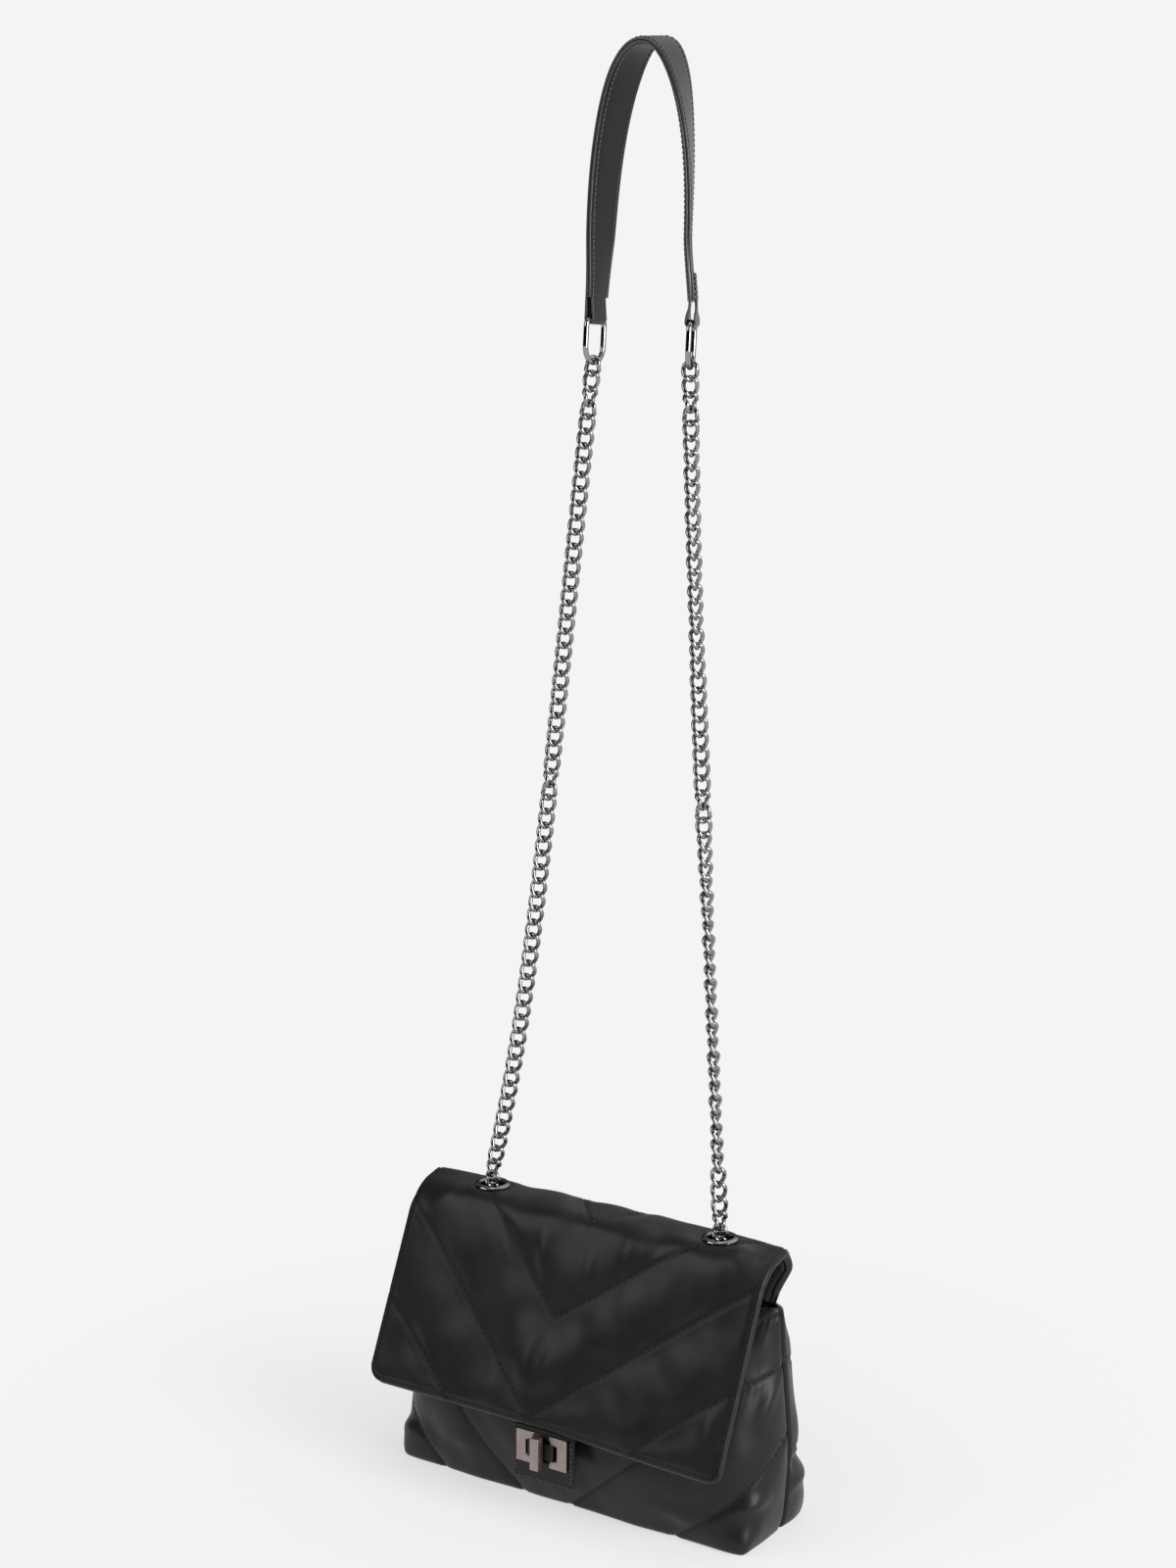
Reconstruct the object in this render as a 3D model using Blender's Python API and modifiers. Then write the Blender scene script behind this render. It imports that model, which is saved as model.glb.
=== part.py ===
"""Quilted crossbody bag: a soft pouch under a flap with a turn lock, on a chain strap with a shoulder pad.

Real size, in metres, +Z up, front towards -Y. The origin is the middle of the footprint, on the floor.
The flap is closed, the lock's bar is upright and the strap stands straight up, as in the photograph.
"""

import math

import bmesh
import bpy
import numpy as np
from mathutils import Vector

X_AXIS = Vector((1, 0, 0))
Y_AXIS = Vector((0, 1, 0))
RIGHT, LEFT = 1, -1
FRONT, BACK = -1, 1
SIDE_NAMES = {LEFT: "left", RIGHT: "right"}

# Clearances
GAP = 0.0003
SOFT_GAP = 0.0006
CUT_OVERRUN = 0.002

# Pouch, measured from the plane of the side seams
POUCH_HEIGHT = 0.130
SIDE_REACH = 0.121
FRONT_REACH = 0.0535
BACK_REACH = 0.044
PANEL_THICKNESS = 0.005
BOTTOM_THICKNESS = 0.004
BOARD_THICKNESS = 0.002
BOARD_MARGIN = 0.002
LINING_THICKNESS = 0.0012
LINING_DROP = 0.002
LINING_EASE = 0.0015

# Rows of the pouch: height, side, front and back as shares of the sizes above, then how square
# the front's and the back's corners are, where 2 is an ellipse
POUCH_SECTION_SHARES = (
    (0.000, 0.952, 0.752, 0.890, 14.0, 6.0),
    (0.060, 0.990, 0.813, 0.955, 9.0, 4.8),
    (0.155, 1.000, 0.897, 0.955, 4.6, 3.6),
    (0.277, 0.996, 0.972, 0.940, 3.6, 2.6),
    (0.415, 0.990, 1.000, 0.960, 3.0, 2.5),
    (0.615, 0.967, 0.916, 0.955, 2.5, 2.4),
    (0.810, 0.946, 0.710, 0.750, 2.2, 2.7),
    (1.000, 0.934, 0.393, 0.455, 1.9, 1.9),
)
SIDE_PIECES = 3
FACE_PIECES = 10
OUTLINE_STEPS = 60

LOCK_HEIGHT = 0.042

# Flap: its flat ridge carries the eyelets, and its front hangs from the fold
FLAP_INSET = 0.005
FLAP_HALF_WIDTH = SIDE_REACH - FLAP_INSET
FLAP_THICKNESS = 0.0045
FLAP_LINING_THICKNESS = 0.0012
FLAP_DEPTH = FLAP_THICKNESS + SOFT_GAP + FLAP_LINING_THICKNESS
RIDGE_RISE = 0.033
RIDGE_HEIGHT = POUCH_HEIGHT + RIDGE_RISE
RIDGE_BACK = 0.0078
RIDGE_FRONT = -0.017
FLAP_SEAM_REACH = 0.005
# Points of the flap's back, from the seam to the ridge: share of the seam's reach, reach, share of the rise
FLAP_BACK_SHARES = (
    (1.00, 0.0000, 0.00),
    (0.45, 0.0090, 0.51),
    (0.25, 0.0090, 0.79),
)
FOLD_DROP = 0.0022
FOLD_REACH = 0.0048
BEND_DROP = 0.009
BEND_REACH = 0.009
EDGE_RISE = 0.0155
EDGE_HEIGHT = LOCK_HEIGHT + EDGE_RISE
EDGE_REACH = 0.0675
EDGE_CORNER = 0.009
FLAP_COLUMNS = 18
CORNER_STEPS = 4
BINDING_WIDTH = 0.0016

# Eyelets
EYELET_INSET = 0.045
EYELET_X = SIDE_REACH - EYELET_INSET
EYELET_Y = -0.005
EYELET_HOLE = 0.0132
EYELET_BARREL = 0.0154
EYELET_FLANGE = 0.0205
EYELET_FLANGE_THICKNESS = 0.0014
EYELET_TURNS = 24
WASHER_DIAMETER = 0.0174
WASHER_THICKNESS = 0.0012
BARREL_TAIL = 0.0006

# Chain
WIRE = 0.0022
WIRE_FLAT = WIRE * math.sqrt(math.pi) / 2
LINK_HALF_WIDTH = 0.0036
LINK_PITCH = 0.0080
LINK_POINTS = 6
LINK_ROUNDNESS = 0.6
LINK_BITE = 0.00040
LINK_GAP = 0.0005
MERGE_ANGLE = math.radians(12)
# How a link is turned about its length at its bottom, middle and top
TWISTED = (math.pi / 2, math.pi / 4, 0)
FLAT_BOTTOM = (math.pi / 2, math.pi / 2, 0)
UNTWISTED = (0, 0, 0)
PIVOT_RISE = 0.008
LOWER_RISE = 0.229
UPPER_RISE = 0.211
END_RISE = 0.0237
STRAP_PIVOT_HEIGHT = RIDGE_HEIGHT + PIVOT_RISE
STRAP_FOLD_HEIGHT = STRAP_PIVOT_HEIGHT + LOWER_RISE
PAD_FOLD_HEIGHT = STRAP_FOLD_HEIGHT + UPPER_RISE
PAD_PIVOT_HEIGHT = PAD_FOLD_HEIGHT + END_RISE
PAD_PIVOT_Y = 0.0275
LEFT_PIVOT_X = -0.0328
RIGHT_PIVOT_X = 0.0283
PAD_PIVOT_X = {LEFT: LEFT_PIVOT_X, RIGHT: RIGHT_PIVOT_X}
LEFT_BOW = 0.0073
RIGHT_BOW = -0.0020
STRAND_BOW = {LEFT: LEFT_BOW, RIGHT: RIGHT_BOW}
BOW_SKEW = 1.2
STRAND_STEPS = 80
TAIL_RISE = 0.011

# Side tabs and their rings, inside the mouth
TAB_SEWN_LENGTH = 0.022
TAB_BOTTOM = POUCH_HEIGHT - TAB_SEWN_LENGTH
TAB_THICKNESS = 0.0024
TAB_HALF_WIDTH = 0.0025
TAB_LOOP_RISE = 0.004
TAB_LOOP_HEIGHT = POUCH_HEIGHT + TAB_LOOP_RISE
TAB_LOOP_WALL = 0.0014
TAB_LOOP_SIDES = 6
SIDE_RING_WIRE = 0.0026
SIDE_RING_WIDTH = 0.0090
SIDE_RING_LENGTH = 0.0085
SIDE_RING_CORNER = 0.0021

# Rings between the chain and the shoulder pad
RING_WIRE = 0.0030
RING_WIDTH = 0.0173
RING_LENGTH = 0.0237
RING_CORNER = 0.0040
ARC_STEPS = 5
RING_TURN = {LEFT: 0.0, RIGHT: math.radians(33)}
# Where along the pad its turn to the right ring starts, and how much of the pad it takes
TWIST_START = 0.46
TWIST_SPAN = 0.28
TUBE_RESOLUTION = 1

# Shoulder pad: two layers of leather along an arch
LAYER_THICKNESS = 0.0014
PAD_WIDTH = 0.026
PAD_END_WIDTH = 0.0180
PAD_LEG_RISE = 0.0653
PAD_ARCH_RISE = 0.102
PAD_SPRING_HEIGHT = PAD_PIVOT_HEIGHT + PAD_LEG_RISE
PAD_TOP = PAD_SPRING_HEIGHT + PAD_ARCH_RISE
PAD_SPRING_HALF = 0.028
PAD_ARCH_X = -0.0040
ARCH_POWER = 2.2
ARCH_STEPS = 14
LEG_STEPS = 5
END_WIDTH = 0.0115
END_LEG = 0.025
END_REST = 0.0022

# Turn lock
LOCK_FACE_Y = -0.0665
PLATE_WIDTH = 0.0334
PLATE_HEIGHT = 0.0186
PLATE_THICKNESS = 0.0020
PLATE_BACK_THICKNESS = 0.0010
SLOT_WIDTH = 0.0204
SLOT_HEIGHT = 0.0125
PLATE_BACK_HEIGHT = 0.0152
LEATHER_TAB_WIDTH = 0.040
LEATHER_TAB_THICKNESS = 0.0024
LEATHER_TAB_DROP = 0.0205
LEATHER_TAB_RISE = 0.0080
LEATHER_TAB_SEWN = 0.0205
LEATHER_TAB_BOTTOM = LOCK_HEIGHT - LEATHER_TAB_DROP
LEATHER_TAB_BEND = LOCK_HEIGHT + LEATHER_TAB_RISE
LEATHER_TAB_TOP = EDGE_HEIGHT + LEATHER_TAB_SEWN
BASE_WIDTH = 0.0280
BASE_HEIGHT = 0.0160
BASE_THICKNESS = 0.0012
BOSS_WIDTH = 0.0170
BOSS_HEIGHT = 0.0094
BOSS_PROUD = 0.0006
PRONG_SPREAD = 0.0110
PRONG_WIDTH = 0.0012
PRONG_HEIGHT = 0.0030
BACK_PLATE_THICKNESS = 0.0010
POST_DIAMETER = 0.0036
POST_DEPTH = 0.0050
POST_SIDES = 16
TOGGLE_LENGTH = 0.0188
TOGGLE_WIDTH = 0.0056
TOGGLE_THICKNESS = 0.0058
TOGGLE_LIFT = 0.0010
TOGGLE_EDGE = 0.0007
EDGE_SEGMENTS = 1
SHARP_ANGLE = math.radians(35)

LEATHER = ((0.024, 0.024, 0.025, 1.0), 0.42, 0.0)
STRAP_LEATHER = ((0.021, 0.021, 0.023, 1.0), 0.38, 0.0)
LINING_CLOTH = ((0.030, 0.028, 0.029, 1.0), 0.85, 0.0)
GREY_BOARD = ((0.28, 0.27, 0.25, 1.0), 0.90, 0.0)
GUNMETAL = ((0.22, 0.21, 0.21, 1.0), 0.22, 1.0)
SATIN_GUNMETAL = ((0.38, 0.34, 0.32, 1.0), 0.32, 1.0)


def empty_scene():
    for existing in list(bpy.data.objects):
        bpy.data.objects.remove(existing, do_unlink=True)


def new_collection(name):
    collection = bpy.data.collections.new(name)
    bpy.context.scene.collection.children.link(collection)
    return collection


empty_scene()
bag_parts = new_collection("quilted_crossbody_bag")
cutters = new_collection("cutters")


def finish(obj, look):
    """Gives the object its own Principled material in the look's colour, roughness and metallic value."""
    colour, roughness, metallic = look
    material = bpy.data.materials.new(obj.name)
    material.use_nodes = True
    shader = material.node_tree.nodes["Principled BSDF"]
    shader.inputs["Base Color"].default_value = colour
    shader.inputs["Roughness"].default_value = roughness
    shader.inputs["Metallic"].default_value = metallic
    obj.data.materials.clear()
    obj.data.materials.append(material)
    if obj.type == "MESH":
        obj.data.shade_smooth()
        obj.data.set_sharp_from_angle(angle=SHARP_ANGLE)


def add_object(name, mesh, collection=None):
    obj = bpy.data.objects.new(name, mesh)
    (collection or bag_parts).objects.link(obj)
    return obj


def move_to(obj, collection):
    for owner in list(obj.users_collection):
        owner.objects.unlink(obj)
    collection.objects.link(obj)


def make_cutter(obj):
    move_to(obj, cutters)
    obj.hide_render = True
    obj.display_type = "WIRE"
    return obj


def loft(name, rings, paired=False):
    """A closed solid through rings of equal length.

    A paired ring holds one line and then its partner backwards. All walls of paired rings are split into
    triangles alike, so that layers which lie on each other stay clear of each other.
    """
    build = bmesh.new()
    rows = [[build.verts.new(point) for point in ring] for ring in rings]
    for row, following in zip(rows, rows[1:]):
        falling = following[0].co.z < row[0].co.z - GAP
        for index in range(len(row)):
            after = (index + 1) % len(row)
            low, high, far_high, far_low = row[index], row[after], following[after], following[index]
            if paired and (index >= len(row) // 2) != falling:
                build.faces.new((low, high, far_high))
                build.faces.new((low, far_high, far_low))
            else:
                build.faces.new((low, high, far_low))
                build.faces.new((high, far_high, far_low))
    build.faces.new(reversed(rows[0]))
    build.faces.new(rows[-1])
    bmesh.ops.recalc_face_normals(build, faces=build.faces)
    mesh = bpy.data.meshes.new(name)
    build.to_mesh(mesh)
    build.free()
    return add_object(name, mesh)


def box(name, centre, size):
    bpy.ops.mesh.primitive_cube_add(size=1, location=centre, scale=size)
    obj = bpy.context.object
    obj.name = name
    bpy.ops.object.transform_apply(location=False, rotation=False, scale=True)
    move_to(obj, bag_parts)
    return obj


def cylinder(name, centre, diameter, length, axis, sides):
    bpy.ops.mesh.primitive_cylinder_add(vertices=sides, radius=diameter / 2, depth=length, location=centre)
    obj = bpy.context.object
    obj.name = name
    obj.rotation_mode = "QUATERNION"
    obj.rotation_quaternion = Vector(axis).to_track_quat("Z", "Y")
    move_to(obj, bag_parts)
    return obj


def combine(obj, other, operation):
    modifier = obj.modifiers.new(operation.lower(), "BOOLEAN")
    modifier.operation = operation
    modifier.object = make_cutter(other)


def soften(obj, width):
    modifier = obj.modifiers.new("softened edges", "BEVEL")
    modifier.width = width
    modifier.segments = EDGE_SEGMENTS
    modifier.limit_method = "ANGLE"


def turned(name, profile, centre):
    """A profile of radius and height, running down its outer side, turned about Z."""
    mesh = bpy.data.meshes.new(name)
    count = len(profile)
    edges = [(index, (index + 1) % count) for index in range(count)]
    mesh.from_pydata([(radius, 0, height) for radius, height in profile], edges, [])
    obj = add_object(name, mesh)
    obj.location = centre
    screw = obj.modifiers.new("turned", "SCREW")
    screw.steps = screw.render_steps = EYELET_TURNS
    screw.use_merge_vertices = True
    screw.merge_threshold = 0.00001
    screw.use_smooth_shade = True
    return obj


def wire(name, points, diameter):
    """A closed loop of round wire."""
    curve = bpy.data.curves.new(name, "CURVE")
    curve.dimensions = "3D"
    curve.bevel_depth = diameter / 2
    curve.bevel_resolution = TUBE_RESOLUTION
    spline = curve.splines.new("POLY")
    spline.points.add(len(points) - 1)
    for target, point in zip(spline.points, points):
        target.co = (*point, 1)
    spline.use_cyclic_u = True
    return add_object(name, curve)


def strip(name, stations, width_of, thickness):
    """A strap of leather along stations of point, width direction and face direction."""
    rings = []
    for share, (point, across, out) in stations:
        half = across * (width_of(share) / 2)
        rise = out * (thickness / 2)
        rings.append([point + half + rise, point - half + rise, point - half - rise, point + half - rise])
    return loft(name, rings, paired=True)


# Pouch


def pouch_section(height):
    """Half width, front depth, back depth and the two squarenesses of the pouch at a height."""
    rows = np.array(POUCH_SECTION_SHARES)
    share = height / POUCH_HEIGHT
    side, front, back, front_square, back_square = (
        float(np.interp(share, rows[:, 0], rows[:, column])) for column in range(1, rows.shape[1])
    )
    return side * SIDE_REACH, front * FRONT_REACH, back * BACK_REACH, front_square, back_square


def inset_line(line, inset, cut_axis):
    """The line moved to its left by the same amount along its length, its start cut square to an axis."""
    points = [Vector(point) for point in line]
    runs = [(after - point).normalized() for point, after in zip(points, points[1:])]
    moved = []
    for index, point in enumerate(points):
        before = runs[max(index - 1, 0)]
        after = runs[min(index, len(runs) - 1)]
        middle = (before + after).normalized()
        leftward = Vector((-middle.y, middle.x))
        moved.append(point + leftward * (inset / middle.dot(before)))
    moved[0] += runs[0] * ((points[0] - moved[0])[cut_axis] / runs[0][cut_axis])
    return moved


def half_outline(height, inset, facing):
    """The front's or the back's outline at a height, from the right seam to the left one, moved in by inset."""
    side, front, back, front_square, back_square = pouch_section(height)
    depth, square = (front, front_square) if facing == FRONT else (back, back_square)
    corner = math.pi / 4
    stretches = ((0, corner, SIDE_PIECES), (corner, math.pi - corner, FACE_PIECES), (math.pi - corner, math.pi, SIDE_PIECES))
    points = [(side, GAP / 2)]
    for start, end, pieces in stretches:
        turn = np.linspace(start, end, OUTLINE_STEPS)
        x = side * np.sign(np.cos(turn)) * np.abs(np.cos(turn)) ** (2 / square)
        y = depth * np.abs(np.sin(turn)) ** (2 / square)
        run = np.concatenate(([0], np.cumsum(np.hypot(np.diff(x), np.diff(y)))))
        stops = np.linspace(0, run[-1], pieces + 1)[1:]
        points += [(float(np.interp(at, run, x)), GAP / 2 + float(np.interp(at, run, y))) for at in stops]
    moved = inset_line(points, inset, 1)
    moved[-1] = Vector((-moved[0].x, moved[0].y))
    return [Vector((point.x, facing * point.y, height)) for point in moved]


def full_outline(height, inset):
    front = half_outline(height, inset, FRONT)
    back = half_outline(height, inset, BACK)
    return front + back[::-1][1:-1]


def row_heights(low, high):
    rows = sorted([BOTTOM_THICKNESS] + [share * POUCH_HEIGHT for share, *_ in POUCH_SECTION_SHARES])
    return [low] + [height for height in rows if low + GAP < height < high - GAP] + [high]


def pouch_panel(name, facing):
    """A quilted panel that wraps from one side seam to the other."""
    heights = row_heights(0, POUCH_HEIGHT)
    outer = [half_outline(height, 0, facing) for height in heights]
    inner = [half_outline(height, PANEL_THICKNESS, facing) for height in heights]
    columns = range(len(outer[0]))
    rings = [[row[c] for row in outer] + [row[c] for row in inner[::-1]] for c in columns]
    return loft(name, rings, paired=True)


def flat_pad(name, low, thickness, inset):
    return loft(name, [full_outline(low, inset), full_outline(low + thickness, inset)])


def build_pouch():
    front = pouch_panel("front_panel", FRONT)
    back = pouch_panel("back_panel", BACK)
    bottom = flat_pad("bottom_panel", 0, BOTTOM_THICKNESS, PANEL_THICKNESS + SOFT_GAP)
    board_low = BOTTOM_THICKNESS + GAP
    board = flat_pad("base_board", board_low, BOARD_THICKNESS, PANEL_THICKNESS + BOARD_MARGIN)
    lining_low = board_low + BOARD_THICKNESS + GAP
    lining_inset = PANEL_THICKNESS + LINING_EASE
    heights = row_heights(lining_low, POUCH_HEIGHT - LINING_DROP)
    inner_heights = row_heights(lining_low + LINING_THICKNESS, POUCH_HEIGHT - LINING_DROP)
    rings = [full_outline(height, lining_inset) for height in heights]
    rings += [full_outline(height, lining_inset + LINING_THICKNESS) for height in inner_heights[::-1]]
    lining = loft("lining", rings, paired=True)
    for obj in (front, back, bottom):
        finish(obj, LEATHER)
    finish(board, GREY_BOARD)
    finish(lining, LINING_CLOTH)
    return front


# Flap


def back_reach(x):
    """How far the pouch's back reaches at the mouth, where the flap is sewn to it."""
    side, _, back, _, square = pouch_section(POUCH_HEIGHT)
    share = min(abs(x) / side, 1)
    return max(back * (1 - share**square) ** (1 / square), FLAP_SEAM_REACH)


def top_profile(x):
    """The flap's outer line from its seam on the back panel to the fold, as pairs of Y and Z."""
    seam = back_reach(x)
    low = POUCH_HEIGHT + GAP
    rise = RIDGE_HEIGHT - low
    points = [(share * seam + reach, low + up * rise) for share, reach, up in FLAP_BACK_SHARES]
    return points + [(RIDGE_BACK, RIDGE_HEIGHT), (RIDGE_FRONT, RIDGE_HEIGHT)]


def fold_point():
    return (RIDGE_FRONT - GAP, RIDGE_HEIGHT + GAP)


def front_profile():
    """The flap's outer line from the fold to its lower edge."""
    fold_y, _ = fold_point()
    start = (fold_y - GAP, RIDGE_HEIGHT)
    shoulder = (fold_y - FOLD_REACH, RIDGE_HEIGHT - FOLD_DROP)
    bend = (fold_y - BEND_REACH, RIDGE_HEIGHT - BEND_DROP)
    return [start, shoulder, bend, (-EDGE_REACH, EDGE_HEIGHT)]


def sheet(name, line_at, low_inset, thickness, half_at, cut_axis):
    """A layer of the flap between two insets of its outer line, over its columns."""
    rings = []
    for column in np.linspace(-1, 1, FLAP_COLUMNS + 1):
        share = float(column)
        line = line_at(share * FLAP_HALF_WIDTH)
        outer = inset_line(line, low_inset, cut_axis)
        inner = inset_line(line, low_inset + thickness, cut_axis)
        ring = []
        for layer in (list(enumerate(outer)), list(enumerate(inner))[::-1]):
            ring += [Vector((share * half_at(row), point.x, point.y)) for row, point in layer]
        rings.append(ring)
    return loft(name, rings, paired=True)


def front_rows():
    """The front's outer line with the rows that its rounded lower corners need, and each row's half width."""
    line = [Vector(point) for point in front_profile()]
    direction = (line[-1] - line[-2]).normalized()
    rows = line[:-1]
    halves = [FLAP_HALF_WIDTH] * len(rows)
    for step in range(CORNER_STEPS + 1):
        turn = step / CORNER_STEPS * math.pi / 2
        rows.append(line[-1] - direction * EDGE_CORNER * (1 - math.sin(turn)))
        halves.append(FLAP_HALF_WIDTH - EDGE_CORNER * (1 - math.cos(turn)))
    return rows, halves


def flap_frame():
    """The point at the flap's lower edge, the direction down its front and the direction out of it."""
    line = [Vector(point) for point in front_profile()]
    down = (line[-1] - line[-2]).normalized()
    edge = Vector((0, line[-1].x, line[-1].y))
    return edge, Vector((0, down.x, down.y)), Vector((0, down.y, -down.x))


def build_binding():
    """The strip that closes the flap's sides and lower edge."""
    rows, halves = front_rows()
    edge, down, out = flap_frame()
    bend = Vector((0, rows[2].x, rows[2].y))
    length = (edge - bend).length
    path = []
    for side in (LEFT, RIGHT):
        turns = [step / CORNER_STEPS * math.pi / 2 for step in range(CORNER_STEPS + 1)]
        corner_x = side * (FLAP_HALF_WIDTH - EDGE_CORNER)
        arc = [
            (
                Vector((corner_x, 0, 0)) + edge - down * EDGE_CORNER,
                X_AXIS * (side * math.cos(turn)) + down * math.sin(turn),
            )
            for turn in turns
        ]
        top = Vector((corner_x, 0, 0)) + edge - down * length
        run = [(top, X_AXIS * side)] + arc
        path += run if side == LEFT else run[::-1]
    rings = []
    for centre, away in path:
        near = centre + away * (EDGE_CORNER + GAP)
        far = near + away * BINDING_WIDTH
        rings.append([near, far, far - out * FLAP_DEPTH, near - out * FLAP_DEPTH])
    return loft("flap_binding", rings)


def build_flap():
    rows, halves = front_rows()
    under = FLAP_THICKNESS + SOFT_GAP
    layers = []
    for place, line_at, half_at, cut_axis in (
        ("top", top_profile, lambda row: FLAP_HALF_WIDTH, 1),
        ("front", lambda x: rows, lambda row: halves[row], 0),
    ):
        leather = sheet(f"flap_{place}", line_at, 0, FLAP_THICKNESS, half_at, cut_axis)
        cloth = sheet(f"flap_lining_{place}", line_at, under, FLAP_LINING_THICKNESS, half_at, cut_axis)
        layers.append((leather, cloth))
    (top, top_lining), (front, front_lining) = layers
    for layer in (top, top_lining):
        for side in (LEFT, RIGHT):
            centre = (side * EYELET_X, EYELET_Y, RIDGE_HEIGHT)
            length = 2 * (FLAP_DEPTH + CUT_OVERRUN)
            hole = cylinder("eyelet_cut", centre, EYELET_BARREL + 2 * GAP, length, (0, 0, 1), EYELET_TURNS)
            combine(layer, hole, "DIFFERENCE")
    for obj in (top, front, build_binding()):
        finish(obj, LEATHER)
    for obj in (top_lining, front_lining):
        finish(obj, LINING_CLOTH)


def build_eyelets():
    bore, barrel, flange = EYELET_HOLE / 2, EYELET_BARREL / 2, EYELET_FLANGE / 2
    flange_low = GAP
    flange_high = flange_low + EYELET_FLANGE_THICKNESS
    washer_high = -FLAP_DEPTH - GAP
    washer_low = washer_high - WASHER_THICKNESS
    tail = washer_low - BARREL_TAIL
    eyelet_profile = (
        (bore, flange_high),
        (flange, flange_high),
        (flange, flange_low),
        (barrel, flange_low),
        (barrel, tail),
        (bore, tail),
    )
    washer_bore = barrel + GAP
    washer_rim = WASHER_DIAMETER / 2
    washer_profile = (
        (washer_bore, washer_high),
        (washer_rim, washer_high),
        (washer_rim, washer_low),
        (washer_bore, washer_low),
    )
    for side, word in SIDE_NAMES.items():
        centre = (side * EYELET_X, EYELET_Y, RIDGE_HEIGHT)
        finish(turned(f"eyelet_{word}", eyelet_profile, centre), GUNMETAL)
        finish(turned(f"eyelet_washer_{word}", washer_profile, centre), GUNMETAL)


# Chain


def strand_y(height):
    """The strands lean back evenly from the eyelets to the pad."""
    share = (height - STRAP_PIVOT_HEIGHT) / (PAD_PIVOT_HEIGHT - STRAP_PIVOT_HEIGHT)
    return EYELET_Y + share * (PAD_PIVOT_Y - EYELET_Y)


def strand_point(side, height):
    """A strand bows a little off its straight line, most near one of its ends."""
    share = (height - STRAP_PIVOT_HEIGHT) / (PAD_PIVOT_HEIGHT - STRAP_PIVOT_HEIGHT)
    share = min(max(share, 0), 1)
    near = share if side == LEFT else 1 - share
    skewed = near * (1 + BOW_SKEW) / (1 + BOW_SKEW * near)
    bow = STRAND_BOW[side] * math.sin(math.pi * skewed)
    straight = side * EYELET_X + share * (PAD_PIVOT_X[side] - side * EYELET_X)
    return Vector((straight + bow, strand_y(height), height))


def link_points(link):
    """The wire's centre line in one link, turned about the link's axis by angles for its bottom, middle and top."""
    centre, axis, half_length, angles = link
    first = (X_AXIS - axis * axis.x).normalized()
    second = axis.cross(first)
    longest = math.cos(math.pi / LINK_POINTS) ** LINK_ROUNDNESS
    points = []
    for index in range(LINK_POINTS):
        turn = 2 * math.pi * index / LINK_POINTS
        across = math.copysign(abs(math.cos(turn)) ** LINK_ROUNDNESS, math.cos(turn))
        along = math.copysign(abs(math.sin(turn)) ** LINK_ROUNDNESS, math.sin(turn)) / longest
        if index % (LINK_POINTS // 2) == 0:
            along = 0
        angle = float(np.interp(along, (-1, 0, 1), angles))
        outward = first * math.cos(angle) + second * math.sin(angle)
        point = centre + axis * (along * half_length) + outward * (across * LINK_HALF_WIDTH)
        points.append((point, outward * across + axis * along))
    return points


def link_rings(link):
    """Square sections of the wire round one link, flat towards the link's middle."""
    stations = link_points(link)
    rings = []
    for index, (point, away) in enumerate(stations):
        before = stations[index - 1][0]
        after = stations[(index + 1) % len(stations)][0]
        run = (after - before).normalized()
        mitre = run.dot((after - point).normalized())
        out = (away - run * away.dot(run)).normalized() * (WIRE_FLAT / 2 / mitre)
        over = run.cross(out).normalized() * (WIRE_FLAT / 2)
        rings.append([point + out + over, point - out + over, point - out - over, point + out - over])
    return rings


def chain(name, links):
    """Links joined where they hook into each other: every other link is one mesh, and the rest are united with it."""
    halves = []
    for start, collection in ((0, bag_parts), (1, cutters)):
        build = bmesh.new()
        for link in links[start::2]:
            rows = [[build.verts.new(point) for point in ring] for ring in link_rings(link)]
            for row, following in zip(rows, rows[1:] + rows[:1]):
                for index in range(len(row)):
                    after = (index + 1) % len(row)
                    build.faces.new((row[index], row[after], following[after], following[index]))
        bmesh.ops.recalc_face_normals(build, faces=build.faces)
        mesh = bpy.data.meshes.new(name)
        build.to_mesh(mesh)
        build.free()
        halves.append(add_object(name if start == 0 else f"{name}_links", mesh, collection))
    combine(halves[0], halves[1], "UNION")
    merge = halves[0].modifiers.new("merged flats", "DECIMATE")
    merge.decimate_type = "DISSOLVE"
    merge.angle_limit = MERGE_ANGLE
    finish(halves[0], GUNMETAL)


def links_along(points, hooked_below, end_turn=0):
    """Links whose first wire hooks that far below the first point and whose last wire lies at the last point.

    The last link's top half lies flat, turned by end_turn to suit what hooks into it.
    """
    path = np.array([tuple(point) for point in points])
    runs = np.concatenate(([0], np.cumsum(np.linalg.norm(np.diff(path, axis=0), axis=1))))
    bite = WIRE_FLAT - LINK_BITE
    length = runs[-1] + hooked_below - bite
    count = round(length / LINK_PITCH)
    pitch = length / count
    half_length = (pitch + bite) / 2
    first_run = Vector(path[1] - path[0]).normalized()
    links = []
    for index in range(count):
        at = half_length + index * pitch - hooked_below
        low, high = (sample(path, runs, at + shift, first_run) for shift in (-half_length, half_length))
        angles = TWISTED
        if index == 0:
            angles = FLAT_BOTTOM
        elif index == count - 1:
            angles = (math.pi / 2, end_turn, end_turn)
        links.append(((low + high) / 2, (high - low).normalized(), half_length, angles))
    return links


def sample(path, runs, at, first_run):
    if at < 0:
        return Vector(path[0]) + first_run * at
    return Vector([float(np.interp(at, runs, path[:, axis])) for axis in range(3)])


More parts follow.
